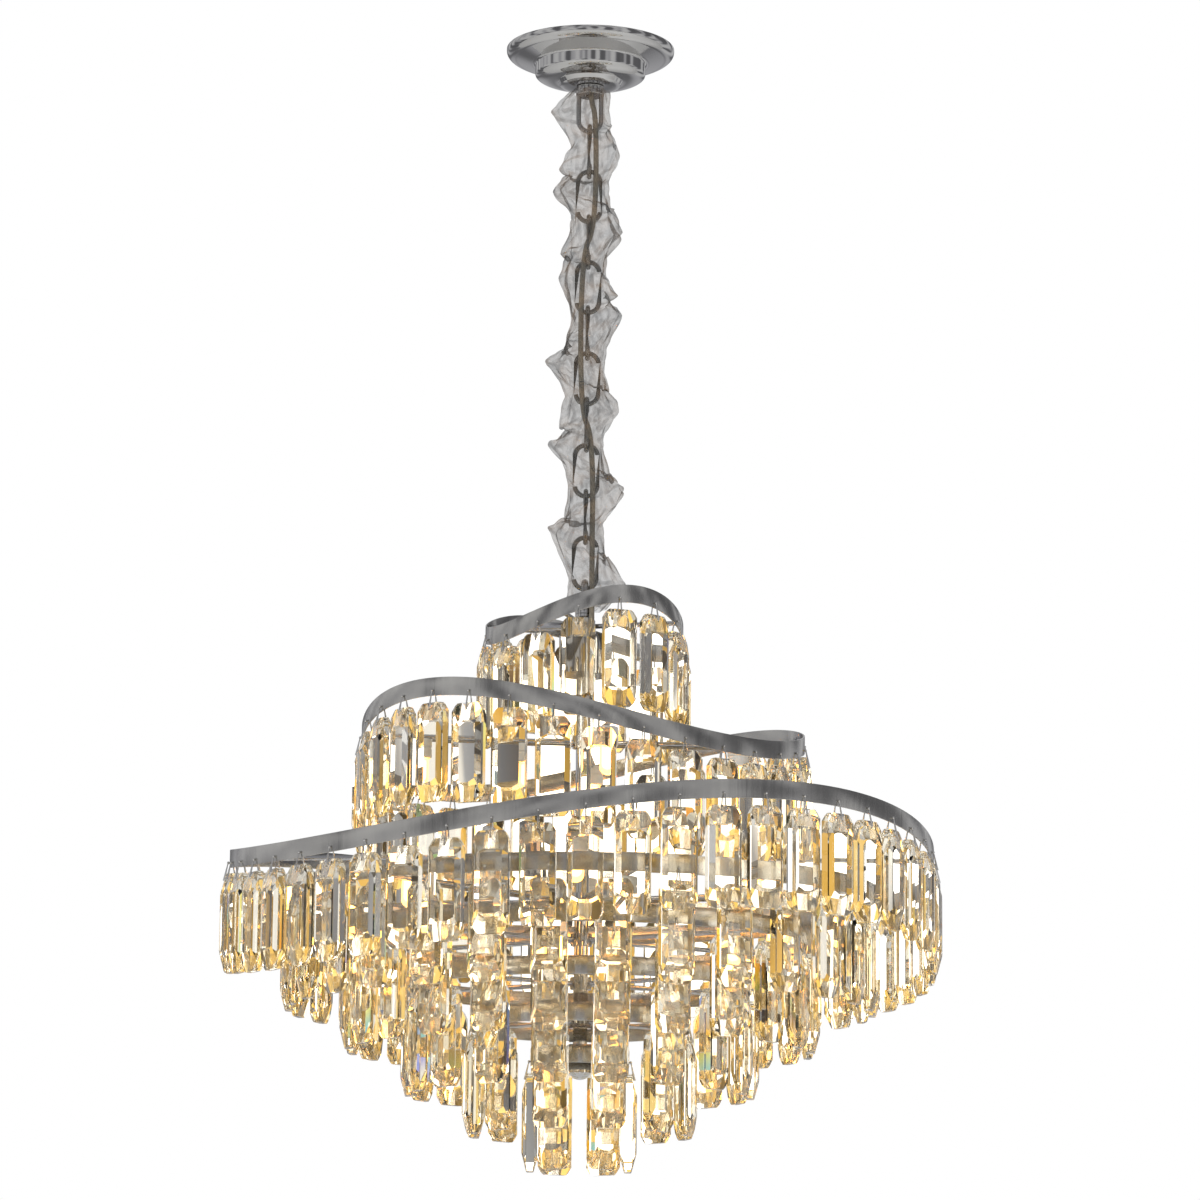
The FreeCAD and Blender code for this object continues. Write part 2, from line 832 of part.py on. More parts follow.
def lamp_lead(at_radius, angle, hub_z, slope):
    """A lead tucked under the arm, from the hub to the lamp holder."""
    below = (arm_radius + lead_radius) * (1 + slope ** 2) + seat_gap
    near = hub_radius + lead_radius * abs(slope) + seat_gap
    far = at_radius - holder_radius - lead_radius * abs(slope) - seat_gap
    start = around(near, angle, hub_z + slope * near - below)
    end = around(far, angle, hub_z + slope * far - below)
    return rod(lead_radius, start, end)


# ---- the parts -----------------------------------------------------------------------
def main():
    os.makedirs("parts", exist_ok=True)
    save("ceiling_crossbar", crossbar())
    save("threaded_nipple", nipple())
    save("nipple_lock_nut", lock_nut())
    save("canopy", canopy())
    save("collar_loop", collar_loop())
    for number in range(1, link_count + 1):
        save("chain_link_%02d" % number, chain_link(number))
    save("supply_cord", supply_cord())
    save("organza_sleeve", organza_sleeve())

    save("hang_loop", hang_loop())
    save("centre_column", column())
    save("finial_nut", finial())
    save("junction_cup", junction_cup())
    save("junction_cup_lid", cup_lid())
    save("terminal_block", terminal_block())

    drop = crystal()
    wire = hook()
    plates_and_bolts = []
    for tier in range(len(tier_radius)):
        name = "tier_%d_" % (tier + 1)
        save(name + "band", band(tier))
        save(name + "arms", tier_spider(tier))
        save_group(name + "crystals", tier_row(drop, tier, crystal_top))
        save_group(name + "hooks", tier_row(wire, tier, hole_level))
        plates_and_bolts.append(joint_plate(tier))
        for angle in bolt_angles(tier):
            plates_and_bolts.append(joint_bolt(tier, angle))
    save_group("band_joints", plates_and_bolts)

    ring_hooks = []
    last = len(ring_names) - 1
    for number, letter in enumerate(ring_names):
        name = "ring_%s" % letter
        save(name, ring(number))
        save(name + "_arms", ring_spider(number))
        crystals = ring_row(drop, number, crystal_top)
        hooks = ring_row(wire, number, hole_level)
        if number < last:
            save_group(name + "_crystals", crystals)
            ring_hooks += hooks
            continue
        for place, pair in enumerate(zip(crystals, hooks)):
            save_group("bottom_crystal_%d" % (place + 1), list(pair))
    save_group("ring_hooks", ring_hooks)

    lamps = lamp_places()
    save_group("lamp_holders", [lamp_holder(*lamp) for lamp in lamps])
    save_group("lamp_bulbs", [bulb(*lamp) for lamp in lamps])
    save_group("lamp_leads", [lamp_lead(*lamp) for lamp in lamps])


main()
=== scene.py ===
"""Dresses the frame of a crystal chandelier: a stepped canopy, a chain in a gathered
organza sleeve, and wavy and plain steel rings hung with long cut crystals.

Metres, in the frame's own axes. An angle is in degrees, from the front (-Y) towards
the right (+X).
"""
import math
import random
from itertools import product

import bpy
from bpy.props import FloatProperty, FloatVectorProperty, IntProperty, PointerProperty
from mathutils import Matrix, Vector, noise


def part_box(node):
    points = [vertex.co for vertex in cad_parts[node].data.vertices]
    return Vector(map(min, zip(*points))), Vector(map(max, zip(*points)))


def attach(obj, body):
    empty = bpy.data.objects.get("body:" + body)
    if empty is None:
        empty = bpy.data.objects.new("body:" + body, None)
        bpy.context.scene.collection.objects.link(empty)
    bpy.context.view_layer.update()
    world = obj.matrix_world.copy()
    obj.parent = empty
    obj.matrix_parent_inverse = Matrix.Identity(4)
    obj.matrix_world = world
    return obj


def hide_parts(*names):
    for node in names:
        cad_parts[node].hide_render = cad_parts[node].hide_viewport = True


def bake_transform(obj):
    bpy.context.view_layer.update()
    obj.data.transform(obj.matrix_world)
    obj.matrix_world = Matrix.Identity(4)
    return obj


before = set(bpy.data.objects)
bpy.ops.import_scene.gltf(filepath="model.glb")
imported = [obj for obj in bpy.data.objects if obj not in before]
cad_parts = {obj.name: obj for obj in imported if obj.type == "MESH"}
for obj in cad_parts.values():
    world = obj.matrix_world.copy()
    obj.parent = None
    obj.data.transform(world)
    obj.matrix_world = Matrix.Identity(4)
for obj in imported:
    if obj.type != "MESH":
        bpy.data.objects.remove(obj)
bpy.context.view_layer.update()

bl_info = {
    "name": "Crystal chandelier",
    "version": (1, 0, 0),
    "blender": (4, 5, 0),
    "location": "View3D > Sidebar > Chandelier",
    "description": "Builds the chandelier's visible pieces around its CAD frame",
    "category": "Object",
}

TIERS = ("tier_1", "tier_2", "tier_3")
RINGS = ("ring_a", "ring_b", "ring_c", "ring_d", "ring_e")
LINKS = ["chain_link_%02d" % number for number in range(1, 11)]
CHAIN_BODIES = ["ceiling_mount"] + ["link_%02d" % number for number in range(1, 11)] + ["lamp"]


# ---- reading the frame ---------------------------------------------------------------
def top_of(node):
    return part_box(node)[1].z


def bottom_of(node):
    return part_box(node)[0].z


def middle_of(node):
    low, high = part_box(node)
    return (low + high) / 2


def half_width(node):
    low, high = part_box(node)
    return (high.x - low.x) / 2


def spot(radius, angle, z):
    """The point at this radius, angle and height."""
    turn = math.radians(angle)
    return Vector((radius * math.sin(turn), -radius * math.cos(turn), z))


def angle_of(point):
    return math.degrees(math.atan2(point.x, -point.y))


# ---- sizes and colours ---------------------------------------------------------------
def length(label, value, note):
    return FloatProperty(name=label, description=note, default=value, unit="LENGTH")


def colour(label, value, note):
    return FloatVectorProperty(name=label, description=note, default=value, size=3,
                               subtype="COLOR", min=0.0, max=1.0)


class ChandelierCanopy(bpy.types.PropertyGroup):
    """Sizes of the canopy and the collar under it."""
    lip: length("Lip", 0.002, "Height of the rim's upright edge")
    wall: length("Wall", 0.001, "Thickness of the sheet metal")
    dome_width: length("Shoulder width", 0.0095, "Width of the rounded shoulder inside the rim")
    dome_depth: length("Shoulder depth", 0.0088, "How far the shoulder ends below the rim")
    step_radius: length("Step radius", 0.047, "Radius of the second step's wall")
    step_top: length("Step top", 0.0128, "Where the second step starts, below the rim")
    step_round: length("Step round", 0.004, "Width of the second step's rounded corner")
    step_bottom: length("Step bottom", 0.022, "Where the second step's wall ends")
    slope_radius: length("Slope radius", 0.0275, "Radius where the hollow slope ends")
    slope_bottom: length("Slope bottom", 0.0285, "Depth where the hollow slope ends")
    floor_radius: length("Floor radius", 0.0215, "Radius of the flat floor")
    floor_chamfer: length("Floor chamfer", 0.001, "Height of the chamfer round the floor")
    bore: length("Bore", 0.0051, "Radius of the hole for the threaded tube")


class ChandelierChain(bpy.types.PropertyGroup):
    """Sizes of the chain's links and loops."""
    wire: length("Link wire", 0.004, "Thickness of a link's wire")
    loop_wire: length("Loop wire", 0.006, "Thickness of the hang loop's wire")
    weld: FloatProperty(name="Weld seam", description="Share by which a weld stands proud",
                        default=0.05, min=0.0, max=0.2)
    collar_height: length("Collar height", 0.008, "Height of the collar under the canopy")


class ChandelierCord(bpy.types.PropertyGroup):
    """Sizes of the supply cord."""
    diameter: length("Diameter", 0.0045, "Thickness of the supply cord")


class ChandelierSleeve(bpy.types.PropertyGroup):
    """Sizes of the organza sleeve."""
    flat_width: length("Cut width", 0.155, "Flat width of the cloth before it is sewn to a tube")
    flat_length: length("Cut length", 0.50, "Flat length of the cloth before it is gathered")
    neck: length("Neck", 0.0152, "Mean radius where the cloth is drawn in")
    puff: length("Puff", 0.026, "Mean radius where the cloth stands out")
    crumple: length("Crumple", 0.0050, "Depth of the loose folds")
    gather: length("Gather", 0.0021, "Height of the small gathers at a neck")
    gathers: IntProperty(name="Gathers", description="Small gathers round a neck", default=8, min=3)
    sway: length("Sway", 0.0045, "How far the cloth lies to one side and the other")
    fold_round: length("Fold round", 0.0040, "Radius at which a fold starts to look dense")
    clear: length("Clear", 0.0118, "Radius round the axis that the chain keeps free")
    rows: IntProperty(name="Puffs", description="Puffs along the sleeve", default=12, min=4)
    frames: IntProperty(name="Frames", description="Time that the cloth settles", default=14, min=2)
    seed: IntProperty(name="Seed", description="Start of the random folds", default=7)


class ChandelierBands(bpy.types.PropertyGroup):
    """Sizes of the wavy bands and the plain rings."""
    height: length("Strip height", 0.015, "Height of each steel strip")
    thick: length("Strip thickness", 0.0012, "Thickness of each steel strip")
    edge: length("Edge round", 0.00035, "Rounding of a strip's edges")
    wave_angle: FloatVectorProperty(name="Wave angles", size=3, default=(30.0, -46.0, 38.5),
                                    description="Where each wavy band stands highest, in degrees")
    joint_angle: FloatVectorProperty(name="Joint angles", size=3, default=(200.5, 99.425, 241.7),
                                     description="Where each wavy band's ends meet, in degrees")
    joint_gap: length("Joint gap", 0.0004, "Gap between a wavy band's two ends")


class ChandelierCrystals(bpy.types.PropertyGroup):
    """Sizes of a crystal and its hook."""
    face: length("Front flat", 0.020, "Width of the flat down the middle")
    edge: length("Side edge", 0.007, "Thickness left at the long sides")
    width: length("Width", 0.028, "Width of a crystal")
    thick: length("Thickness", 0.014, "Thickness of a crystal")
    length: length("Length", 0.080, "Length of a crystal")
    tip_width: length("Tip width", 0.020, "Width of a crystal's flat tip")
    tip_thick: length("Tip thickness", 0.006, "Thickness of a crystal's tip")
    corner: length("Corner cut", 0.006, "Length of the corner cuts")
    moon: length("Half-moon cut", 0.015, "Length of the half-moon cuts")
    hole: length("Hole", 0.0055, "Depth of the hole below the crystal's top")
    hole_radius: length("Hole radius", 0.001, "Radius of the hole")
    drop: length("Drop", 0.006, "From a strip's lower edge to the crystal's top")
    hole_lift: length("Strip hole", 0.004, "Height of the strip's hole above its lower edge")
    wire: length("Hook wire", 0.0011, "Thickness of the hook's wire")
    turn: FloatProperty(name="Turn", description="Most that a crystal hangs turned, in degrees",
                        default=5.0, min=0.0, max=10.0)


class ChandelierLamps(bpy.types.PropertyGroup):
    """Sizes of the lamps."""
    glow: FloatProperty(name="Glow", description="Strength of the lit bulbs", default=16.0, min=0.0)
    rim: length("Holder rim", 0.0012, "Height of the rim round a lamp holder")


class ChandelierColours(bpy.types.PropertyGroup):
    """Colours of the finishes."""
    chrome: colour("Chrome", (0.56, 0.555, 0.545), "Polished chrome of the canopy and the centre")
    strip: colour("Strips", (0.525, 0.515, 0.49), "Smoke-grey chrome of the bands and rings")
    links: colour("Links", (0.36, 0.35, 0.32), "Nickel of the chain")
    zinc: colour("Zinc", (0.50, 0.51, 0.52), "Zinc plate of the ceiling fixing")
    arms: colour("Arms", (0.50, 0.50, 0.51), "Chrome of the arms")
    # The crystal's champagne tint is painted warm light. It stands in for the gold of the lit bulbs
    # and deepens with each layer of glass; the glass itself is clear.
    crystal: colour("Crystal", (1.0, 0.965, 0.87), "Faint champagne tint of the cut glass")
    organza: colour("Organza", (0.085, 0.084, 0.082), "Sheer cloth of the sleeve")
    organza_fold: colour("Organza folds", (0.24, 0.17, 0.115), "Browner cast of some of its folds")
    cord: colour("Cord", (0.26, 0.225, 0.165), "Clear brownish jacket of the supply cord")
    ceramic: colour("Ceramic", (0.78, 0.77, 0.73), "Ceramic of the lamp holders")
    light: colour("Lamp light", (1.0, 0.60, 0.20), "Light of the lit bulbs")
    floor: colour("Floor", (0.86, 0.86, 0.86), "The studio floor")


class ChandelierStage(bpy.types.PropertyGroup):
    """The camera and the studio."""
    distance: length("Distance", 3.966, "From the chandelier's axis to the camera")
    level: length("Level", -1.238, "Height of the camera, below the ceiling")
    tilt: FloatProperty(name="Tilt", description="How far the camera looks up, in degrees",
                        default=10.84)
    pan: FloatProperty(name="Pan", description="How far it looks to the right, in degrees",
                       default=0.184)
    roll: FloatProperty(name="Roll", description="How far it leans, in degrees", default=0.57)
    lens: FloatProperty(name="Lens", description="Focal length in millimetres", default=144.9)
    floor_level: length("Floor", -1.75, "Height of the floor, below the ceiling")


GROUPS = {
    "canopy": ChandelierCanopy,
    "chain": ChandelierChain,
    "cord": ChandelierCord,
    "sleeve": ChandelierSleeve,
    "bands": ChandelierBands,
    "crystals": ChandelierCrystals,
    "lamps": ChandelierLamps,
    "colours": ChandelierColours,
    "stage": ChandelierStage,
}


def sizes(group):
    """One of the groups of sizes and colours, as the user has set it."""
    return getattr(bpy.context.scene, "chandelier_" + group)


# ---- modelling helpers ---------------------------------------------------------------
def object_mode():
    if bpy.context.mode != "OBJECT":
        bpy.ops.object.mode_set(mode="OBJECT")


def deselect_all():
    object_mode()
    bpy.ops.object.select_all(action="DESELECT")


def activate(piece):
    deselect_all()
    piece.select_set(True)
    bpy.context.view_layer.objects.active = piece


def named(name):
    """The primitive that was just added, with this name and its place in its mesh."""
    piece = bpy.context.object
    piece.name = name
    piece.data.name = name
    bpy.ops.object.transform_apply(location=True, rotation=True, scale=True)
    return piece


def edit(piece, kind="VERT"):
    activate(piece)
    bpy.ops.object.mode_set(mode="EDIT")
    bpy.ops.mesh.select_mode(type=kind)


def edit_all(piece, kind="VERT"):
    edit(piece, kind)
    bpy.ops.mesh.select_all(action="SELECT")


def choose_points(piece, test):
    """Goes into edit mode with the vertices selected whose place passes a test."""
    edit(piece)
    bpy.ops.mesh.select_all(action="DESELECT")
    object_mode()
    for vertex in piece.data.vertices:
        vertex.select = test(vertex.co)
    edit(piece)


def choose_edges(piece, test):
    """Goes into edit mode with the edges selected whose two ends pass a test."""
    edit(piece, "EDGE")
    bpy.ops.mesh.select_all(action="DESELECT")
    object_mode()
    points = piece.data.vertices
    for line in piece.data.edges:
        start, end = line.vertices
        line.select = test(points[start].co, points[end].co)
    edit(piece, "EDGE")


def move(x=0.0, y=0.0, z=0.0):
    bpy.ops.transform.translate(value=(x, y, z))


def scale(x, y, z, centre):
    bpy.ops.transform.resize(value=(x, y, z), center_override=centre)


def extrude(x=0.0, y=0.0, z=0.0):
    bpy.ops.mesh.extrude_region_move(TRANSFORM_OT_translate={"value": (x, y, z)})


def tidy(piece, close=False):
    """Merges doubled points, closes open ends if asked and points the faces outwards."""
    edit_all(piece)
    bpy.ops.mesh.remove_doubles(threshold=1e-6)
    if close:
        bpy.ops.mesh.select_all(action="SELECT")
        bpy.ops.mesh.fill_holes(sides=0)
        bpy.ops.mesh.select_all(action="SELECT")
    bpy.ops.mesh.normals_make_consistent(inside=False)
    object_mode()


def smooth(piece, angle=35.0):
    activate(piece)
    bpy.ops.object.shade_smooth_by_angle(angle=math.radians(angle))


def apply_modifier(piece, kind, **values):
    """Adds a modifier with these settings and applies it."""
    activate(piece)
    modifier = piece.modifiers.new(kind.title(), kind)
    for name, value in values.items():
        setattr(modifier, name, value)
    bpy.ops.object.modifier_apply(modifier=modifier.name)


def turned(name, profile, segments=64, centre=(0.0, 0.0), start="flat", end="flat"):
    """A piece turned on a lathe from (radius, height) points, its ends flat, pointed or open."""
    first_radius, first_z = profile[0]
    x, y = centre
    deselect_all()
    bpy.ops.mesh.primitive_circle_add(vertices=segments, radius=first_radius, fill_type="NOTHING",
                                      location=(x, y, first_z))
    piece = named(name)
    edit_all(piece)
    if start == "flat":
        bpy.ops.mesh.edge_face_add()
    radius, z = first_radius, first_z
    for next_radius, next_z in profile[1:]:
        if start == "flat":
            extrude(z=next_z - z)
        else:
            bpy.ops.mesh.extrude_edges_move(TRANSFORM_OT_translate={"value": (0, 0, next_z - z)})
        share = next_radius / radius
        if abs(share - 1) > 1e-6:
            scale(share, share, 1, (x, y, next_z))
        radius, z = next_radius, next_z
    if end == "flat" and start != "flat":
        bpy.ops.mesh.edge_face_add()
    if end == "point":
        bpy.ops.mesh.merge(type="CENTER")
    tidy(piece)
    return piece


def quarter(start, end, steps, level_first=False):
    """Points of a quarter round between two (radius, height) points, without its start."""
    points = []
    for step in range(1, steps + 1):
        angle = math.pi / 2 * step / steps
        across, along = 1 - math.cos(angle), math.sin(angle)
        if level_first:
            across, along = along, across
        points.append((start[0] + (end[0] - start[0]) * across,
                       start[1] + (end[1] - start[1]) * along))
    return points


def copies(piece, places, name):
    """One object of copies of a piece, each with its own mesh, at these places."""
    made = []
    for place in places:
        copy = bpy.data.objects.new(name, piece.data.copy())
        copy.data.transform(place)
        bpy.context.collection.objects.link(copy)
        made.append(copy)
    deselect_all()
    for copy in made:
        copy.select_set(True)
    bpy.context.view_layer.objects.active = made[0]
    if len(made) > 1:
        bpy.ops.object.join()
    made[0].name = name
    made[0].data.name = name
    return made[0]


def join(pieces, name):
    """Several pieces made into one object."""
    deselect_all()
    for piece in pieces:
        piece.select_set(True)
    bpy.context.view_layer.objects.active = pieces[0]
    bpy.ops.object.join()
    pieces[0].name = name
    pieces[0].data.name = name
    return pieces[0]


def discard(piece):
    bpy.data.objects.remove(piece)


def dress(piece, finish):
    """Gives a piece one finish all over."""
    piece.data.materials.clear()
    piece.data.materials.append(bpy.data.materials[finish])


def fit(piece, body, slot, *nodes):
    """Sets a piece on its body, in place of CAD nodes; its slot is not used."""
    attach(piece, body)
    if nodes:
        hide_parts(*nodes)


def solids_of(node):
    """The lowest and highest corner of each separate solid of a CAD node."""
    copy = bpy.data.objects.new("solids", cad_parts[node].data.copy())
    bpy.context.collection.objects.link(copy)
    edit_all(copy)
    bpy.ops.mesh.remove_doubles(threshold=1e-6)
    bpy.ops.mesh.separate(type="LOOSE")
    object_mode()
    boxes = []
    for part in list(bpy.context.selected_objects):
        points = [vertex.co for vertex in part.data.vertices]
        low = Vector(min(point[axis] for point in points) for axis in range(3))
        high = Vector(max(point[axis] for point in points) for axis in range(3))
        boxes.append((low, high))
        discard(part)
    return boxes


def hanging_places(node):
    """(radius, angle, top) of each solid of a row, in order round the row."""
    places = []
    for low, high in solids_of(node):
        middle = (low + high) / 2
        places.append((math.hypot(middle.x, middle.y), angle_of(middle), high.z))
    return sorted(places, key=lambda place: place[1])


# ---- finishes ------------------------------------------------------------------------
def new_finish(name):
    """A material of this name: its node tree and its shader."""
    material = bpy.data.materials.new(name)
    material.use_nodes = True
    return material.node_tree, material.node_tree.nodes["Principled BSDF"]


def add(tree, kind, settings=None, **inputs):
    """A node with its settings and the values of its inputs."""
    made = tree.nodes.new(kind)
    for name, value in (settings or {}).items():
        setattr(made, name, value)
    for name, value in inputs.items():
        made.inputs[name].default_value = value
    return made


def place_of(tree, stretch, source="Object"):
    """Coordinates on the piece, stretched along its axes."""
    coordinates = add(tree, "ShaderNodeTexCoord")
    mapping = add(tree, "ShaderNodeMapping", Scale=stretch)
    tree.links.new(coordinates.outputs[source], mapping.inputs["Vector"])
    return mapping.outputs["Vector"]


def grain(tree, scale_value, stretch=(1, 1, 1), detail=3.0, source="Object"):
    texture = add(tree, "ShaderNodeTexNoise", Scale=scale_value, Detail=detail)
    tree.links.new(place_of(tree, stretch, source), texture.inputs["Vector"])
    return texture.outputs["Fac"]


def ranged(tree, value, low, high, start=0.3, end=0.7):
    """A texture's value brought between two numbers."""
    remap = tree.nodes.new("ShaderNodeMapRange")
    remap.inputs["From Min"].default_value = start
    remap.inputs["From Max"].default_value = end
    remap.inputs["To Min"].default_value = low
    remap.inputs["To Max"].default_value = high
    tree.links.new(value, remap.inputs["Value"])
    return remap.outputs["Result"]


def tinted(tree, value, first, second):
    """A colour that goes from one to another with a texture's value."""
    mix = add(tree, "ShaderNodeMix", {"data_type": "RGBA"})
    mix.inputs[6].default_value = (*first, 1)
    mix.inputs[7].default_value = (*second, 1)
    tree.links.new(value, mix.inputs[0])
    return mix.outputs[2]


def relief(tree, shader, height, distance, strength=1.0):
    bump = add(tree, "ShaderNodeBump", Distance=distance, Strength=strength)
    tree.links.new(height, bump.inputs["Height"])
    tree.links.new(bump.outputs["Normal"], shader.inputs["Normal"])


def vary_tone(tree, shader, value, base, darkest):
    """Lets a texture's value darken the shader's colour, down to a share of it."""
    darker = [channel * darkest for channel in base]
    tree.links.new(tinted(tree, value, darker, base), shader.inputs["Base Color"])


def vary_gloss(tree, shader, value, low, high):
    """Lets a texture's value set the shader's roughness between two numbers."""
    tree.links.new(ranged(tree, value, low, high), shader.inputs["Roughness"])


def metal(name, base, low, high, stretch, scale_value, depth):
    """A plated metal whose gloss and tone vary a little, with fine marks along one way."""
    tree, shader = new_finish(name)
    shader.inputs["Metallic"].default_value = 1.0
    marks = grain(tree, scale_value, stretch)
    clouds = grain(tree, 9.0)
    vary_tone(tree, shader, ranged(tree, clouds, 0, 1), base, 0.86)
    vary_gloss(tree, shader, marks, low, high)
    relief(tree, shader, marks, depth)


def crystal_finish():
    """Clear cut glass with a faint swirl in its gloss."""
    tree, shader = new_finish("cut_crystal")
    # Its base colour is painted warm light: a gold tint that stands in for the light of the lit
    # bulbs.
    shader.inputs["Base Color"].default_value = (*sizes("colours").crystal, 1)
    shader.inputs["Transmission Weight"].default_value = 1.0
    shader.inputs["IOR"].default_value = 1.56
    vary_gloss(tree, shader, grain(tree, 60.0), 0.0, 0.012)


def math_node(tree, operation, first, second=None, third=None):
    """A Math node with links or numbers as its inputs."""
    made = add(tree, "ShaderNodeMath", {"operation": operation})
    for socket, value in zip(made.inputs, (first, second, third)):
        if isinstance(value, (int, float)):
            socket.default_value = value
        elif value is not None:
            tree.links.new(value, socket)
    return made.outputs[0]


def organza_finish():
    """Sheer woven cloth on its own UV map, denser in its creases and along its folds."""
    tree, shader = new_finish("sheer_organza")
    base = sizes("colours").organza
    brown = sizes("colours").organza_fold
    threads = math_node(tree, "MAXIMUM", grain(tree, 700.0, (1, 0.02, 1), 1.0, "UV"),
                        grain(tree, 1400.0, (0.02, 1, 1), 1.0, "UV"))
    creases = grain(tree, 5.0, (2.2, 9.0, 1), 1.5, "UV")
    ridge = math_node(tree, "ABSOLUTE", math_node(tree, "SUBTRACT", creases, 0.5))
    ridge = ranged(tree, ridge, 1.0, 0.0, 0.0, 0.035)
    fold = add(tree, "ShaderNodeAttribute", {"attribute_name": "fold"})
    cover = ranged(tree, threads, 0.20, 0.35)
    cover = math_node(tree, "MULTIPLY_ADD", fold.outputs["Fac"], 0.26, cover)
    cover = math_node(tree, "MULTIPLY_ADD", ridge, 0.08, cover)
    tree.links.new(cover, shader.inputs["Alpha"])
    tone = grain(tree, 6.0, (1.0, 5.0, 1.0), 2.0, "UV")
    tree.links.new(tinted(tree, ranged(tree, tone, 0, 1, 0.42, 0.66), base, brown),
                   shader.inputs["Base Color"])
    shader.inputs["Roughness"].default_value = 0.5
    shader.inputs["Specular IOR Level"].default_value = 0.3
    relief(tree, shader, threads, 0.00005)


def jacket_finish():
    """A clear plastic jacket over twisted copper, which shows as a slanting stripe."""
    tree, shader = new_finish("cord_jacket")
    wave = add(tree, "ShaderNodeTexWave", {"bands_direction": "DIAGONAL"},
               Scale=260.0, Distortion=0.6)
    tree.links.new(place_of(tree, (1, 1, 0.35)), wave.inputs["Vector"])
    vary_tone(tree, shader, wave.outputs["Fac"], sizes("colours").cord, 0.72)
    shader.inputs["Coat Weight"].default_value = 0.6
    vary_gloss(tree, shader, grain(tree, 300.0), 0.2, 0.36)


def ceramic_finish():
    tree, shader = new_finish("glazed_ceramic")
    speckle = grain(tree, 900.0)
    vary_tone(tree, shader, ranged(tree, speckle, 0, 1), sizes("colours").ceramic, 0.88)
    vary_gloss(tree, shader, grain(tree, 200.0), 0.35, 0.55)
    relief(tree, shader, speckle, 0.00004)


def plastic_finish():
    tree, shader = new_finish("block_plastic")
    mottle = grain(tree, 400.0)
    tree.links.new(tinted(tree, ranged(tree, mottle, 0, 1), (0.74, 0.73, 0.70), (0.8, 0.79, 0.77)),
                   shader.inputs["Base Color"])
    vary_gloss(tree, shader, mottle, 0.35, 0.5)
    relief(tree, shader, mottle, 0.00003)


def bulb_glass_finish():
    """The bulb's glass, amber with the light inside it."""
    tree, shader = new_finish("amber_bulb")
    shader.inputs["Base Color"].default_value = (1.0, 0.62, 0.20, 1)
    shader.inputs["Transmission Weight"].default_value = 0.55
    shader.inputs["IOR"].default_value = 1.46
    shader.inputs["Emission Color"].default_value = (1.0, 0.58, 0.17, 1)
    shader.inputs["Emission Strength"].default_value = 2.6
    vary_gloss(tree, shader, grain(tree, 150.0), 0.0, 0.05)


def bulb_glow_finish():
    """The lit filament, its light a little uneven."""
    tree, shader = new_finish("bulb_glow")
    light = sizes("colours").light
    tree.links.new(tinted(tree, ranged(tree, grain(tree, 500.0), 0, 1), light,
                          [min(1.0, channel * 1.12) for channel in light]),
                   shader.inputs["Emission Color"])
    shader.inputs["Emission Strength"].default_value = sizes("lamps").glow
    shader.inputs["Base Color"].default_value = (0.9, 0.6, 0.3, 1)


CAD_FINISHES = {
    "zinc_plate": ("ceiling_crossbar", "nipple_lock_nut", "threaded_nipple"),
    "polished_chrome": ("centre_column", "junction_cup", "junction_cup_lid", "finial_nut"),
    "chromed_arms": ("tier_1_arms", "tier_2_arms", "tier_3_arms", "ring_a_arms", "ring_b_arms",
                     "ring_c_arms", "ring_d_arms", "ring_e_arms", "band_joints"),
    "cord_jacket": ("lamp_leads",),
    "block_plastic": ("terminal_block",),
}


class ChandelierFinishes(bpy.types.Operator):
    """Makes the finishes and gives the frame's own parts theirs"""
    bl_idname = "chandelier.finishes"
    bl_label = "Finishes"

    def execute(self, context):
        paint = sizes("colours")
        metal("polished_chrome", paint.chrome, 0.03, 0.09, (1, 1, 1), 70.0, 0.00002)
        metal("smoked_steel", paint.strip, 0.16, 0.26, (1, 1, 0.04), 190.0, 0.00010)
        metal("nickel_links", paint.links, 0.14, 0.30, (1, 1, 0.4), 260.0, 0.00004)
        metal("zinc_plate", paint.zinc, 0.25, 0.45, (1, 1, 1), 120.0, 0.00003)
        metal("chromed_arms", paint.arms, 0.06, 0.16, (1, 1, 1), 150.0, 0.00002)
        metal("bright_wire", (0.7, 0.69, 0.67), 0.08, 0.2, (1, 1, 1), 400.0, 0.00002)
        crystal_finish()
        organza_finish()
        jacket_finish()
        ceramic_finish()
        plastic_finish()
        bulb_glass_finish()
        bulb_glow_finish()
        for finish, nodes in CAD_FINISHES.items():
            for node in nodes:
                dress(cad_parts[node], finish)
        return {"FINISHED"}


# ---- canopy --------------------------------------------------------------------------
def canopy_profile():
    """(radius, height) points of the canopy's outside, from the rim to the bore."""
    size = sizes("canopy")
    rim = half_width("canopy")
    top = top_of("canopy")
    lip = (rim, top - size.lip)
    shoulder_end = (rim - size.dome_width, top - size.dome_depth)
    step_start = (size.step_radius + size.step_round, top - size.step_top)
    wall_top = (size.step_radius, step_start[1] - size.step_round / 2)
    wall_end = (size.step_radius, top - size.step_bottom)
    slope_end = (size.slope_radius, top - size.slope_bottom)
    floor = bottom_of("canopy")
    points = [(rim, top), lip]
    points += quarter(lip, shoulder_end, 8)
    points += [step_start]
    points += quarter(step_start, wall_top, 5, level_first=True)
    points += [wall_end]
    points += quarter(wall_end, slope_end, 8)
    points += [(size.floor_radius + 4 * size.floor_chamfer, floor + size.floor_chamfer)]
    points += [(size.floor_radius, floor), (size.bore, floor)]
    return points


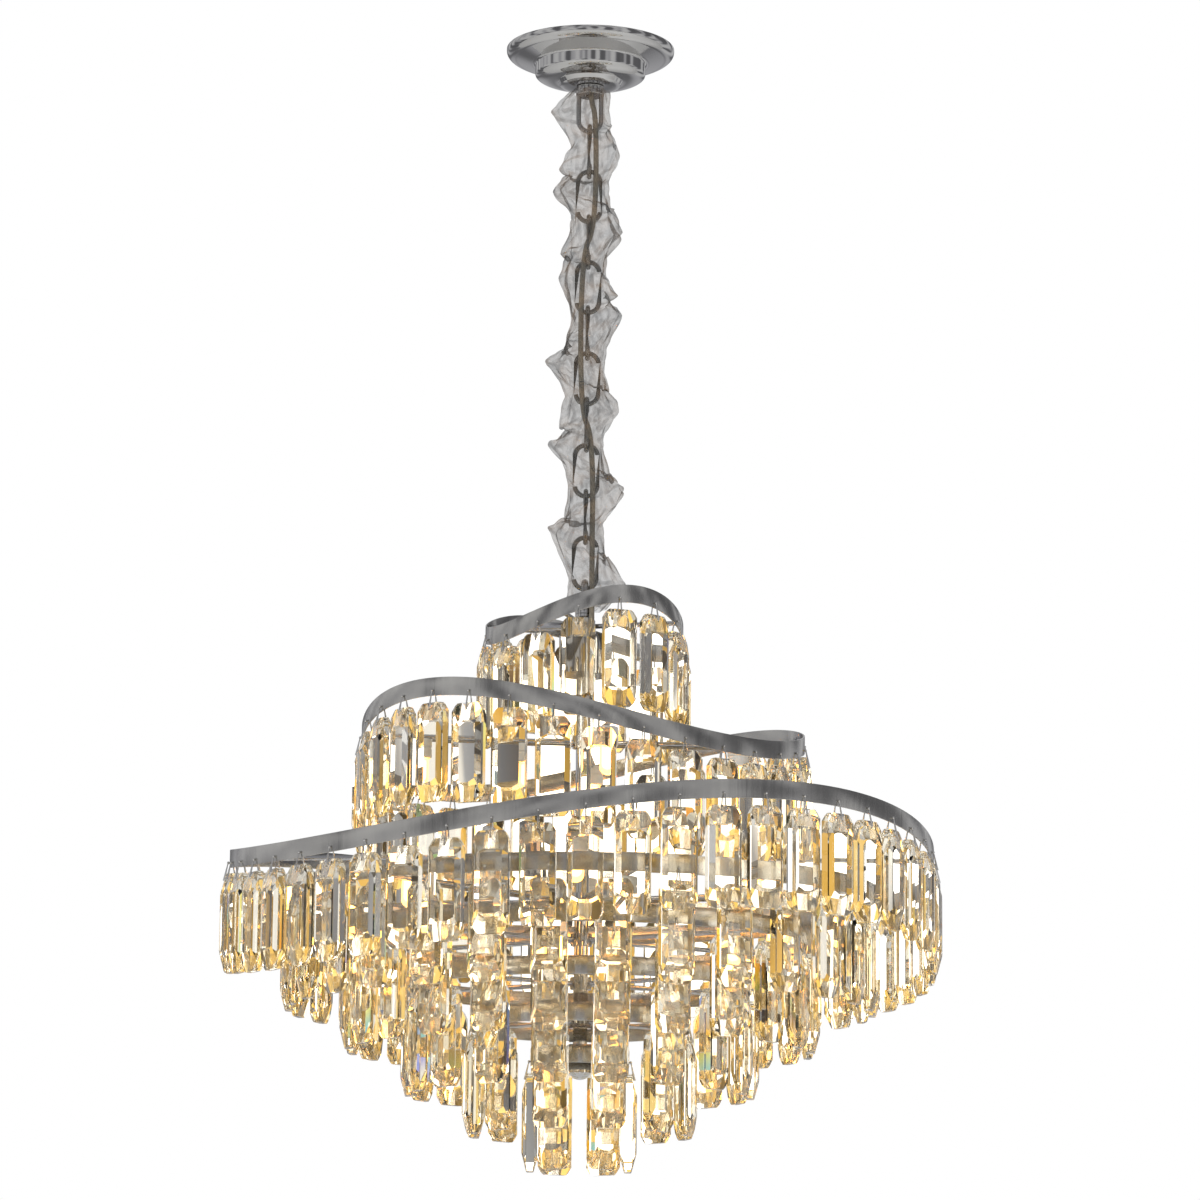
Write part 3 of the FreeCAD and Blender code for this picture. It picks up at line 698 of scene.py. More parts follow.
class ChandelierCanopyBuild(bpy.types.Operator):
    """Turns the stepped canopy from sheet metal"""
    bl_idname = "chandelier.canopy"
    bl_label = "Canopy"

    def execute(self, context):
        size = sizes("canopy")
        piece = turned("canopy_shell", canopy_profile(), segments=128, start="open", end="open")
        apply_modifier(piece, "SOLIDIFY", thickness=size.wall, offset=-1.0)
        apply_modifier(piece, "BEVEL", width=size.wall * 0.3, segments=2,
                       limit_method="ANGLE", angle_limit=math.radians(28))
        smooth(piece, 30)
        dress(piece, "polished_chrome")
        fit(piece, "ceiling_mount", "chrome", "canopy")
        return {"FINISHED"}


# ---- chain ---------------------------------------------------------------------------
WELD_REACH = 0.0012         # half the height of a link's weld seam
COLLAR_ROUND = 0.0012       # rounding of the collar's upper edge
COLLAR_LOOP_REACH = 0.0115  # from the axis to the outside of the loop under the collar
BOSS_ROUND = 0.0015         # rounding of the boss under the hang loop
BOSS_GROOVE = 0.0006        # depth of the groove and of the chamfer on that boss


def standing_ring(name, wire, bend, middle, across, segments):
    """A ring of round wire that stands upright, in the plane of X or of Y."""
    turn = (math.pi / 2, 0, 0) if across == "X" else (0, math.pi / 2, 0)
    deselect_all()
    bpy.ops.mesh.primitive_torus_add(major_segments=segments, minor_segments=16, major_radius=bend,
                                     minor_radius=wire / 2, location=middle, rotation=turn)
    return named(name)


def weld_seam(piece, middle, across, offset):
    """A narrow raised bead round the middle of one leg of a link."""
    axis = 0 if across == "X" else 1

    def on_leg(start, end):
        upright = abs(start.z - end.z) > 4 * abs(start.x - end.x) + 4 * abs(start.y - end.y)
        crossing = (start.z - middle.z) * (end.z - middle.z) < 0
        return upright and crossing and (start[axis] - middle[axis]) * offset > 0

    choose_edges(piece, on_leg)
    bpy.ops.mesh.subdivide(number_cuts=13)
    centre = Vector(middle)
    centre[axis] += offset
    proud = 1 + sizes("chain").weld
    choose_points(piece, lambda point: abs(point.z - middle.z) < WELD_REACH
                  and (point[axis] - middle[axis]) * offset > 0)
    scale(proud, proud, 1, centre)
    tidy(piece)


def link(name):
    """A link of round wire: a ring drawn out lengthwise and welded on one leg."""
    wire = sizes("chain").wire
    low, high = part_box(name)
    middle = (low + high) / 2
    across = "X" if high.x - low.x > high.y - low.y else "Y"
    width = max(high.x - low.x, high.y - low.y)
    bend = (width - wire) / 2
    reach = (high.z - low.z - width) / 2
    piece = standing_ring(name + "_steel", wire, bend, middle, across, 40)
    choose_points(piece, lambda point: point.z > middle.z + 1e-5)
    move(z=reach)
    choose_points(piece, lambda point: point.z < middle.z - 1e-5)
    move(z=-reach)
    choose_points(piece, lambda point: abs(point.z - middle.z) <= 1e-5)
    bpy.ops.mesh.dissolve_verts()
    weld_seam(piece, middle, across, bend)
    smooth(piece, 50)
    return piece


def collar_loop():
    """The collar under the canopy and the long loop of wire that the chain hangs from."""
    size = sizes("chain")
    low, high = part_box("collar_loop")
    radius = half_width("collar_loop")
    bore = sizes("canopy").bore
    collar_low = high.z - size.collar_height
    profile = [(bore, high.z), (radius - COLLAR_ROUND, high.z)]
    profile += quarter(profile[-1], (radius, high.z - COLLAR_ROUND), 4, level_first=True)
    profile += [(radius, collar_low + 0.6 * COLLAR_ROUND),
                (radius - 0.6 * COLLAR_ROUND, collar_low)]
    profile += [(bore, collar_low), (bore, high.z)]
    collar = turned("collar_ring", profile, segments=64, start="open", end="open")
    bend = COLLAR_LOOP_REACH - size.wire / 2
    middle = Vector((0, 0, low.z + size.wire / 2 + bend))
    loop = standing_ring("collar_wire", size.wire, bend, middle, "X", 40)
    choose_points(loop, lambda point: point.z > middle.z + 1e-5)
    bpy.ops.mesh.delete(type="VERT")
    choose_points(loop, lambda point: abs(point.z - middle.z) <= 1e-5)
    extrude(z=collar_low + size.wire / 2 - middle.z)
    tidy(loop, close=True)
    piece = join([collar, loop], "collar_and_loop")
    smooth(piece, 40)
    return piece


def hang_loop():
    """The welded ring on top of the lamp and the turned boss under it."""
    size = sizes("chain")
    low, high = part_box("hang_loop")
    bend = (high.y - low.y - size.loop_wire) / 2
    middle = Vector((0, 0, high.z - size.loop_wire / 2 - bend))
    ring_piece = standing_ring("hang_ring", size.loop_wire, bend, middle, "Y", 48)
    boss_radius = half_width("hang_loop")
    boss_top = middle.z - bend
    profile = [(boss_radius - BOSS_ROUND, boss_top)]
    profile += quarter(profile[0], (boss_radius, boss_top - BOSS_ROUND), 4, level_first=True)
    profile += [(boss_radius, low.z + 0.0034), (boss_radius - BOSS_GROOVE, low.z + 0.003),
                (boss_radius, low.z + 0.0026), (boss_radius, low.z + BOSS_GROOVE),
                (boss_radius - BOSS_GROOVE, low.z)]
    boss = turned("hang_boss", profile, segments=64)
    piece = join([ring_piece, boss], "hang_ring_and_boss")
    smooth(piece, 40)
    return piece


class ChandelierChainBuild(bpy.types.Operator):
    """Bends the links and the loops at the chain's two ends"""
    bl_idname = "chandelier.chain"
    bl_label = "Chain"

    def execute(self, context):
        piece = collar_loop()
        dress(piece, "polished_chrome")
        fit(piece, "ceiling_mount", "chrome", "collar_loop")
        for number, name in enumerate(LINKS):
            piece = link(name)
            dress(piece, "nickel_links")
            fit(piece, CHAIN_BODIES[number + 1], "chain_steel", name)
        piece = hang_loop()
        dress(piece, "polished_chrome")
        fit(piece, "lamp", "chrome", "hang_loop")
        return {"FINISHED"}


# ---- supply cord ---------------------------------------------------------------------
# The cord's corners, from the threaded tube through the third and seventh links to
# the junction cup.
CORD_POINTS = (
    (0.0, 0.0, -0.004), (0.0, 0.0, -0.044), (0.0057, -0.0048, -0.060),
    (0.0057, -0.0048, -0.1576), (-0.0057, -0.0048, -0.1816),
    (-0.0057, -0.0048, -0.3164), (0.0057, -0.0048, -0.3404),
    (0.0057, -0.0048, -0.4555), (0.006, -0.0108, -0.4875), (0.006, -0.0108, -0.5185),
)


def chain_sections():
    """The upper and lower height of each section of the chain, cut at the middles of its links."""
    cuts = [None] + [middle_of(name).z for name in LINKS] + [None]
    return list(zip(cuts, cuts[1:]))


def cord_curve(bevel):
    """The cord's smooth line through its corners, with a round section or none."""
    data = bpy.data.curves.new("supply_cord_line", "CURVE")
    data.dimensions = "3D"
    line = data.splines.new("NURBS")
    line.points.add(len(CORD_POINTS) - 1)
    for point, place in zip(line.points, CORD_POINTS):
        point.co = (*place, 1.0)
    line.order_u = 3
    line.use_endpoint_u = True
    data.resolution_u = 24
    data.bevel_depth = bevel
    data.bevel_resolution = 4
    data.use_fill_caps = bevel > 0
    curve = bpy.data.objects.new("supply_cord_line", data)
    bpy.context.collection.objects.link(curve)
    return curve


def part_between(piece, upper, lower, name, close):
    """A copy of a piece, cut off above one height and below another."""
    copy = bpy.data.objects.new(name, piece.data.copy())
    bpy.context.collection.objects.link(copy)
    if upper is not None:
        edit_all(copy)
        bpy.ops.mesh.bisect(plane_co=(0, 0, upper), plane_no=(0, 0, 1), clear_outer=True,
                            use_fill=close, threshold=1e-7)
    if lower is not None:
        edit_all(copy)
        bpy.ops.mesh.bisect(plane_co=(0, 0, lower), plane_no=(0, 0, 1), clear_inner=True,
                            use_fill=close, threshold=1e-7)
    object_mode()
    return copy


def stretch_of_line(points, upper, lower):
    """The points of a falling line between two heights, its two ends included."""
    high = points[0].z if upper is None else upper
    low = points[-1].z if lower is None else lower
    kept = []
    for start, end in zip(points, points[1:]):
        for level in (high, low):
            if start.z > level > end.z:
                kept.append(start.lerp(end, (start.z - level) / (start.z - end.z)))
    kept += [point for point in points if low <= point.z <= high]
    return sorted(kept, key=lambda point: -point.z)


def bend_at_joint(piece):
    """Bakes a section's place into its mesh."""
    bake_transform(piece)


class ChandelierCordBuild(bpy.types.Operator):
    """Runs the supply cord down the chain, in sections cut at its links"""
    bl_idname = "chandelier.cord"
    bl_label = "Supply cord"

    def execute(self, context):
        size = sizes("cord")
        bare = cord_curve(0.0)
        bpy.context.view_layer.update()
        depsgraph = bpy.context.evaluated_depsgraph_get()
        line_mesh = bpy.data.meshes.new_from_object(bare.evaluated_get(depsgraph))
        line = [vertex.co.copy() for vertex in line_mesh.vertices]
        discard(bare)
        round_curve = cord_curve(size.diameter / 2)
        activate(round_curve)
        bpy.ops.object.convert(target="MESH")
        tube = bpy.context.object
        tidy(tube)
        smooth(tube, 60)
        dress(tube, "cord_jacket")
        for number, (upper, lower) in enumerate(chain_sections()):
            piece = part_between(tube, upper, lower, "supply_cord_%02d" % (number + 1), True)
            bend_at_joint(piece)
            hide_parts("supply_cord")
            path = stretch_of_line(line, upper, lower)
        discard(tube)
        return {"FINISHED"}


# ---- organza sleeve ------------------------------------------------------------------
CLOTH_COLUMNS = 56  # faces round the cloth
CLOTH_ROWS = 8      # faces between one ring of the cloth and the next


def sleeve_ring(number):
    """One of the rings where the cloth turns in or out: how it lies and its radii round it."""
    size = sizes("sleeve")
    top, bottom = top_of("organza_sleeve"), bottom_of("organza_sleeve")
    last = 2 * size.rows
    inner = 0 < number < last
    crest = number % 2
    rng = random.Random(size.seed * 1000 + number)
    side = 1 if (number // 2) % 2 else -1
    tilt = math.radians(side * rng.uniform(10, 38)) * inner
    turned_by = rng.uniform(-0.7, 0.7)
    height = top + (bottom - top) * (number + 0.22 * crest + rng.uniform(-0.2, 0.2) * inner) / last
    base = size.puff if crest else size.neck
    spread = 0.20 if crest else 0.10
    radii = [base * rng.uniform(1 - spread, 1 + spread) for _ in range(7)]
    sway = side * size.sway * (1.6 if crest else 0.6) * rng.uniform(0.5, 1.2) * inner
    return sway, tilt, turned_by, height, radii, size.gather * (0.4 if crest else 1.0)


def on_ring(ring, turn):
    """A point of a ring, its radius eased between the ring's own radii."""
    sway, tilt, turned_by, height, radii, gather = ring
    share = turn / (2 * math.pi) * len(radii)
    first = int(share) % len(radii)
    ease = (1 - math.cos(math.pi * (share % 1))) / 2
    out = radii[first] * (1 - ease) + radii[(first + 1) % len(radii)] * ease
    out += gather * math.cos(sizes("sleeve").gathers * turn)
    across, deep = out * math.cos(turn), out * math.sin(turn)
    lift = (across * math.cos(turned_by) + deep * math.sin(turned_by)) * math.sin(tilt)
    return Vector((sway + across, deep, height + lift))


def cloth_tube():
    """The sleeve's cloth before it settles, in slanting pleats that stand out by turns."""
    size = sizes("sleeve")
    last = 2 * size.rows
    deselect_all()
    bpy.ops.mesh.primitive_grid_add(x_subdivisions=CLOTH_COLUMNS,
                                    y_subdivisions=CLOTH_ROWS * last, size=1.0)
    piece = named("organza_cloth")
    rings = [sleeve_ring(number) for number in range(last + 1)]
    radius_flat = size.flat_width / (2 * math.pi)
    flat, held = [], []
    middle = (top_of("organza_sleeve") + bottom_of("organza_sleeve")) / 2
    for vertex in piece.data.vertices:
        turn = (vertex.co.x + 0.5) * 2 * math.pi
        level = (0.5 - vertex.co.y) * last
        flat.append(Vector((radius_flat * math.cos(turn), radius_flat * math.sin(turn),
                            middle + vertex.co.y * size.flat_length)))
        number = min(int(level + 1e-6), last - 1)
        place = on_ring(rings[number], turn).lerp(on_ring(rings[number + 1], turn), level - number)
        outward = Vector((math.cos(turn), math.sin(turn), 0))
        fold = noise.noise(Vector((2.6 * outward.x, 2.6 * outward.y, level * 1.1 + size.seed)))
        small = noise.noise(Vector((6 * outward.x, 6 * outward.y, level * 2.7)))
        loose = math.sin(math.pi * min(max(level / last, 0), 1)) ** 0.2
        vertex.co = place + outward * loose * (size.crumple * fold + 0.4 * size.crumple * small)
        vertex.co.z += loose * 0.8 * size.crumple * small
        at_neck = number % 2 == 0 and abs(level - round(level)) < 0.25 / CLOTH_ROWS
        if at_neck or level > last - 0.25 / CLOTH_ROWS:
            held.append(vertex.index)
    keep = piece.vertex_groups.new(name="held")
    keep.add(held, 1.0, "REPLACE")
    piece.shape_key_add(name="gathered", from_mix=False)
    rest = piece.shape_key_add(name="flat", from_mix=False)
    for point, place in zip(rest.data, flat):
        point.co = place
    return piece


def weld_tube(piece):
    """Joins the two long edges of the rolled cloth."""
    edit_all(piece)
    bpy.ops.mesh.remove_doubles(threshold=1e-5)
    object_mode()


def settle(piece):
    """Lets the cloth fall into its folds round the chain."""
    size = sizes("sleeve")
    deselect_all()
    top, bottom = top_of("organza_sleeve"), bottom_of("organza_sleeve")
    bpy.ops.mesh.primitive_cylinder_add(vertices=32, radius=size.clear, depth=top - bottom + 0.02,
                                        location=(0, 0, (top + bottom) / 2))
    core = named("settling_core")
    core.modifiers.new("Collision", "COLLISION")
    core.collision.thickness_outer = 0.0008
    core.collision.cloth_friction = 12.0
    cloth = piece.modifiers.new("Cloth", "CLOTH")
    values = cloth.settings
    values.quality = 6
    values.mass = 0.02
    values.air_damping = 2.0
    values.tension_stiffness = values.compression_stiffness = 6.0
    values.shear_stiffness = 3.0
    values.bending_stiffness = 0.02
    values.tension_damping = values.compression_damping = 6.0
    values.shear_damping = 4.0
    values.vertex_group_mass = "held"
    values.rest_shape_key = piece.data.shape_keys.key_blocks["flat"]
    cloth.collision_settings.distance_min = 0.0008
    cloth.collision_settings.collision_quality = 3
    cloth.collision_settings.use_self_collision = False
    cloth.point_cache.frame_start = 1
    cloth.point_cache.frame_end = size.frames
    scene = bpy.context.scene
    scene.frame_end = size.frames
    for frame_number in range(1, size.frames + 1):
        scene.frame_set(frame_number)
    activate(piece)
    bpy.ops.object.convert(target="MESH")
    discard(core)
    scene.frame_set(1)
    return bpy.context.object


def mark_folds(piece):
    """Records how sharply the cloth turns at each of its points, for its finish."""
    size = sizes("sleeve")
    points = piece.data.vertices
    bends = [0.0] * len(points)
    for line in piece.data.edges:
        start, end = (points[index] for index in line.vertices)
        bend = (start.normal - end.normal).length / max((start.co - end.co).length, 1e-5)
        for index in line.vertices:
            bends[index] = max(bends[index], bend)
    fold = piece.data.attributes.new("fold", "FLOAT", "POINT")
    for point, bend in zip(fold.data, bends):
        point.value = min(1.0, max(0.0, bend * size.fold_round - 0.5))


def gathered_tube():
    """The sleeve: a tube of organza that has settled in puffs along the chain."""
    piece = cloth_tube()
    weld_tube(piece)
    piece = settle(piece)
    tidy(piece)
    apply_modifier(piece, "SUBSURF", levels=1, render_levels=1)
    activate(piece)
    bpy.ops.object.shade_smooth()
    mark_folds(piece)
    return piece


class ChandelierSleeveBuild(bpy.types.Operator):
    """Gathers the organza sleeve over the chain, in sections cut at its links"""
    bl_idname = "chandelier.sleeve"
    bl_label = "Organza sleeve"

    def execute(self, context):
        size = sizes("sleeve")
        tube = gathered_tube()
        dress(tube, "sheer_organza")
        for number, (upper, lower) in enumerate(chain_sections()):
            name = "organza_sleeve_%02d" % (number + 1)
            piece = part_between(tube, upper, lower, name, False)
            bend_at_joint(piece)
            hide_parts("organza_sleeve")
        discard(tube)
        return {"FINISHED"}


# ---- bands and rings -----------------------------------------------------------------
def strip(name, radius, top, angle, gap):
    """A flat steel strip bent to a ring, its ends left a gap apart."""
    size = sizes("bands")
    deselect_all()
    bpy.ops.mesh.primitive_plane_add(size=1.0, rotation=(0, math.pi / 2, 0))
    bpy.context.object.scale = (size.height, size.thick, 1)
    piece = named(name)
    edit_all(piece)
    bpy.ops.mesh.bevel(offset=size.edge, segments=2, affect="VERTICES")
    object_mode()
    middle = spot(radius, angle, top - size.height / 2)
    piece.data.transform(Matrix.Translation(middle) @ Matrix.Rotation(math.radians(angle), 4, "Z"))
    edit_all(piece)
    bpy.ops.mesh.spin(steps=180, angle=2 * math.pi - gap / radius, center=(0, 0, 0), axis=(0, 0, 1))
    tidy(piece, close=gap > 0)
    return piece


def wave_strip(piece, height, angle):
    """Lifts and lowers a strip in a wave of two rises round it."""
    for vertex in piece.data.vertices:
        turn = math.radians(2 * (angle_of(vertex.co) - angle))
        vertex.co.z += height * math.cos(turn)


class ChandelierBandsBuild(bpy.types.Operator):
    """Bends the three wavy bands and the five plain rings"""
    bl_idname = "chandelier.bands"
    bl_label = "Bands and rings"

    def execute(self, context):
        size = sizes("bands")
        for number, tier in enumerate(TIERS):
            node = tier + "_band"
            low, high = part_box(node)
            radius = half_width(node) - size.thick / 2
            wave = (high.z - low.z - size.height) / 2
            piece = strip(tier + "_strip", radius, high.z - wave, size.joint_angle[number],
                          size.joint_gap)
            wave_strip(piece, wave, size.wave_angle[number])
            self.hang(piece, node)
        for node in RINGS:
            radius = half_width(node) - size.thick / 2
            self.hang(strip(node + "_strip", radius, top_of(node), 180.0, 0.0), node)
        return {"FINISHED"}

    def hang(self, piece, node):
        """Finishes a strip and sets it on the lamp."""
        smooth(piece, 40)
        dress(piece, "smoked_steel")
        fit(piece, "lamp", "band_steel", node)


# ---- crystals and hooks --------------------------------------------------------------
def cut_off(piece, point, normal):
    """Cuts off what lies beyond a plane and closes the cut."""
    edit_all(piece)
    bpy.ops.mesh.bisect(plane_co=point, plane_no=normal, use_fill=True, clear_outer=True,
                        threshold=1e-7)


# The cuts of each half moon: how far each is turned sideways, in degrees, and a point on
# its edge across the front flat, in shares of half the width and of the cut's length.
MOON_CUTS = ((0, 0.0, 1.0), (8, 0.33, 1.0), (20, 0.64, 0.84))


def crystal():
    """A long drop of cut glass with its top at the origin and its width along X."""
    size = sizes("crystals")
    wide, deep, long = size.width / 2, size.thick / 2, size.length
    deselect_all()
    bpy.ops.mesh.primitive_cube_add(size=1.0, location=(0, 0, -long / 2))
    bpy.context.object.scale = (size.width, size.thick, long)
    piece = named("crystal_pattern")
    for side in (-1, 1):
        for way in (-1, 1):
            cut_off(piece, (side * size.face / 2, way * deep, 0),
                    (side * (deep - size.edge / 2), way * (wide - size.face / 2), 0))
    for end in (-1, 1):
        tip = 0 if end > 0 else -long
        for side in (-1, 1):
            inner = size.tip_width / 2
            corner = (
                (inner - 0.1 * size.corner, 0.0),
                (inner + 0.35 * (wide - inner), 0.3 * size.corner),
                (wide, 1.1 * size.corner),
            )
            for (x_start, fall_start), (x_end, fall_end) in zip(corner, corner[1:]):
                cut_off(piece, (side * x_start, 0, tip - end * fall_start),
                        (side * (fall_end - fall_start), 0, end * (x_end - x_start)))
        for way in (-1, 1):
            rise = deep - size.tip_thick / 2
            for side, (fan, start, depth) in product((-1, 1), MOON_CUTS):
                turn = math.radians(fan)
                cut_off(piece, (side * start * wide, way * deep, tip - end * depth * size.moon),
                        (side * math.sin(turn) * size.moon, way * math.cos(turn) * size.moon,
                         end * rise))
    object_mode()
    deselect_all()
    bpy.ops.mesh.primitive_cylinder_add(vertices=8, radius=size.hole_radius, depth=size.thick * 2,
                                        location=(0, 0, -size.hole), rotation=(math.pi / 2, 0, 0))
    drill = named("drill")
    apply_modifier(piece, "BOOLEAN", object=drill, operation="DIFFERENCE", solver="EXACT")
    discard(drill)
    tidy(piece)
    activate(piece)
    bpy.ops.object.shade_flat()
    dress(piece, "cut_crystal")
    return piece


def hook_pattern():
    """A loop of wire through the strip's hole and the crystal's, with a bead outside."""
    size = sizes("crystals")
    strip_thick = sizes("bands").thick
    fall = size.hole_lift + size.drop + size.hole
    slope = (size.thick - size.tip_thick) / 2 / size.moon
    base = size.tip_thick / 2 + slope * size.hole + size.wire
    bend = strip_thick / 2 + size.wire * 1.6
    deselect_all()
    bpy.ops.mesh.primitive_torus_add(major_segments=12, minor_segments=5, major_radius=bend,
                                     minor_radius=size.wire / 2, rotation=(0, math.pi / 2, 0),
                                     location=(0, 0, -bend))
    wire = named("hook_wire_pattern")
    choose_points(wire, lambda point: point.z < -bend - 1e-5)
    move(z=2 * bend - fall)
    scale(1, base / bend, 1, (0, 0, -fall))
    object_mode()
    deselect_all()
    bpy.ops.mesh.primitive_ico_sphere_add(subdivisions=1, radius=size.wire * 1.15,
                                          location=(0, -strip_thick / 2 - size.wire, 0))
    bead = named("hook_bead_pattern")
    piece = join([wire, bead], "hook_pattern")
    tidy(piece)
    smooth(piece, 60)
    dress(piece, "bright_wire")
    return piece


def hanging(places, lift, turns):
    """Matrices that hang a piece at the front of each place, turned a little."""
    made = []
    for (radius, angle, top), turn in zip(places, turns):
        out = Matrix.Translation(spot(radius, angle, top + lift))
        made.append(out @ Matrix.Rotation(math.radians(angle + turn), 4, "Z"))
    return made


BOTTOM_CRYSTALS = 6


class ChandelierCrystalsBuild(bpy.types.Operator):
    """Cuts the crystal and hangs its copies and their hooks in every row"""
    bl_idname = "chandelier.crystals"
    bl_label = "Crystals and hooks"

    def execute(self, context):
        size = sizes("crystals")
        rng = random.Random(11)
        glass = crystal()
        hook = hook_pattern()
        lift = size.drop + size.hole_lift
        ring_hooks = []
        for node in [row + "_crystals" for row in TIERS + RINGS[:-1]]:
            places = hanging_places(node)
            turns = [rng.uniform(-size.turn, size.turn) for _ in places]
            piece = copies(glass, hanging(places, 0.0, turns), node + "_glass")
            fit(piece, "lamp", "crystal", node)
            hooks = hanging(places, lift, [0.0] * len(places))
            if node.startswith("ring"):
                ring_hooks += hooks
                continue
            row = node.replace("crystals", "hooks")
            fit(copies(hook, hooks, row + "_wire"), "lamp", "hook_wire", row)
        fit(copies(hook, ring_hooks, "ring_hooks_wire"), "lamp", "hook_wire", "ring_hooks")
        for number in range(1, BOTTOM_CRYSTALS + 1):
            self.bottom_crystal(number, glass, hook, lift)
        discard(glass)
        discard(hook)
        return {"FINISHED"}

    def bottom_crystal(self, number, glass, hook, lift):
        """One crystal of the smallest ring, which swings with its hook."""
        size = sizes("crystals")
        node = "bottom_crystal_%d" % number
        low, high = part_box(node)
        middle = (low + high) / 2
        top = low.z + size.length
        places = [(math.hypot(middle.x, middle.y), angle_of(middle), top)]
        wire = copies(hook, hanging(places, lift, [0.0]), node + "_wire")
        fit(wire, node, "hook_wire")
        piece = copies(glass, hanging(places, 0.0, [0.0]), node + "_glass")
        fit(piece, node, "crystal", node)


# ---- lamps ---------------------------------------------------------------------------
def holder_pattern(radius, height):
    """A ceramic lamp holder with its top at the origin."""
    rim = sizes("lamps").rim
    groove = radius * 0.93
    profile = [(radius * 0.7, 0.0), (radius - rim, 0.0)]
    profile += quarter((radius - rim, 0.0), (radius, -rim), 3, level_first=True)
    profile += [(radius, -height * 0.4), (groove, -height * 0.43), (groove, -height * 0.5),
                (radius, -height * 0.53), (radius, -height + rim), (radius - rim, -height)]
    piece = turned("holder_pattern", profile, segments=32)
    smooth(piece, 35)
    dress(piece, "glazed_ceramic")
    return piece


def bulb_pattern(name, radius, length_value, start, finish):
    """A capsule that hangs from the origin, round at its lower end."""
    profile = [(radius * 0.82, start), (radius, start - radius * 0.25)]
    straight = start - (length_value - radius)
    profile.append((radius, straight))
    for step in range(1, 6):
        angle = math.pi / 2 * step / 6
        profile.append((radius * math.cos(angle), straight - radius * math.sin(angle)))
    profile.append((radius * 0.02, straight - radius))
    piece = turned(name, profile, segments=24, end="point")
    smooth(piece, 60)
    dress(piece, finish)
    return piece


def at_tops(boxes):
    """Matrices that put a piece's top at the middle of the top of each solid."""
    return [Matrix.Translation(((low.x + high.x) / 2, (low.y + high.y) / 2, high.z))
            for low, high in boxes]


class ChandelierLampsBuild(bpy.types.Operator):
    """Sets a ceramic holder and a lit capsule bulb at each lamp"""
    bl_idname = "chandelier.lamps"
    bl_label = "Lamps"

    def execute(self, context):
        holders = solids_of("lamp_holders")
        low, high = holders[0]
        radius, height = (high.x - low.x) / 2, high.z - low.z
        holder = holder_pattern(radius, height)
        bulbs = solids_of("lamp_bulbs")
        low, high = bulbs[0]
        bulb_radius, bulb_length = (high.x - low.x) / 2, high.z - low.z
        glass = bulb_pattern("bulb_pattern", bulb_radius, bulb_length, 0.0, "amber_bulb")
        core = bulb_pattern("core_pattern", bulb_radius * 0.5, bulb_length * 0.7, -0.002,
                            "bulb_glow")
        fit(copies(holder, at_tops(holders), "lamp_holders_ceramic"), "lamp", "lamp_ceramic",
            "lamp_holders")
        tops = at_tops(bulbs)
        fit(copies(glass, tops, "lamp_bulbs_glass"), "lamp", "bulb_glass", "lamp_bulbs")
        fit(copies(core, tops, "lamp_bulbs_core"), "lamp", "bulb_glass")
        for pattern in (holder, glass, core):
            discard(pattern)
        return {"FINISHED"}


# ---- stage ---------------------------------------------------------------------------
def studio_camera():
    size = sizes("stage")
    data = bpy.data.cameras.new("camera")
    camera = bpy.data.objects.new("camera", data)
    bpy.context.collection.objects.link(camera)
    data.lens = size.lens
    data.sensor_width = 36.0
    data.clip_end = 50.0
    aim = (Matrix.Rotation(math.radians(-size.pan), 4, "Z")
           @ Matrix.Rotation(math.radians(90 + size.tilt), 4, "X")
           @ Matrix.Rotation(math.radians(size.roll), 4, "Z"))
    camera.matrix_world = Matrix.Translation((0, -size.distance, size.level)) @ aim
    bpy.context.scene.camera = camera


def studio_floor():
    size = sizes("stage")
    deselect_all()
    bpy.ops.mesh.primitive_circle_add(vertices=96, radius=3.0, fill_type="NGON",
                                      location=(0, 0, size.floor_level))
    floor = named("studio_floor")
    tree, shader = new_finish("studio_floor")
    vary_tone(tree, shader, ranged(tree, grain(tree, 3.0), 0, 1), sizes("colours").floor, 0.97)
    shader.inputs["Roughness"].default_value = 0.7
    dress(floor, "studio_floor")


def studio_light(name, place, size_value, power, tone):
    """A soft square light that looks at the lamp's middle, left out of the metal's reflections."""
    data = bpy.data.lights.new(name, "AREA")
    data.size = size_value
    data.energy = power
    data.color = tone
    light = bpy.data.objects.new(name, data)
    bpy.context.collection.objects.link(light)
    light.location = place
    aim = Vector((0, 0, -0.7)) - Vector(place)
    light.rotation_euler = aim.to_track_quat("-Z", "Y").to_euler()
    light.visible_glossy = False


def toned(tree, value, stops):
    """A colour picked by a value from (place, colour) stops."""
    ramp = tree.nodes.new("ShaderNodeValToRGB")
    band = ramp.color_ramp
    while len(band.elements) < len(stops):
        band.elements.new(0.5)
    for element, (place, tone) in zip(band.elements, stops):
        element.position = place
        element.color = (*tone, 1)
    tree.links.new(value, ramp.inputs["Fac"])
    return ramp.outputs["Color"]


def product_of(tree, first, second):
    mix = add(tree, "ShaderNodeMix", {"data_type": "RGBA", "blend_type": "MULTIPLY"})
    mix.inputs[0].default_value = 1.0
    tree.links.new(first, mix.inputs[6])
    tree.links.new(second, mix.inputs[7])
    return mix.outputs[2]


def around(tree, scale_value, stretch, detail=0.0):
    """Noise over the directions round the studio."""
    coordinates = add(tree, "ShaderNodeTexCoord")
    mapping = add(tree, "ShaderNodeMapping", Scale=stretch)
    tree.links.new(coordinates.outputs["Generated"], mapping.inputs["Vector"])
    texture = add(tree, "ShaderNodeTexNoise", Scale=scale_value, Detail=detail)
    tree.links.new(mapping.outputs["Vector"], texture.inputs["Vector"])
    return texture.outputs["Fac"]


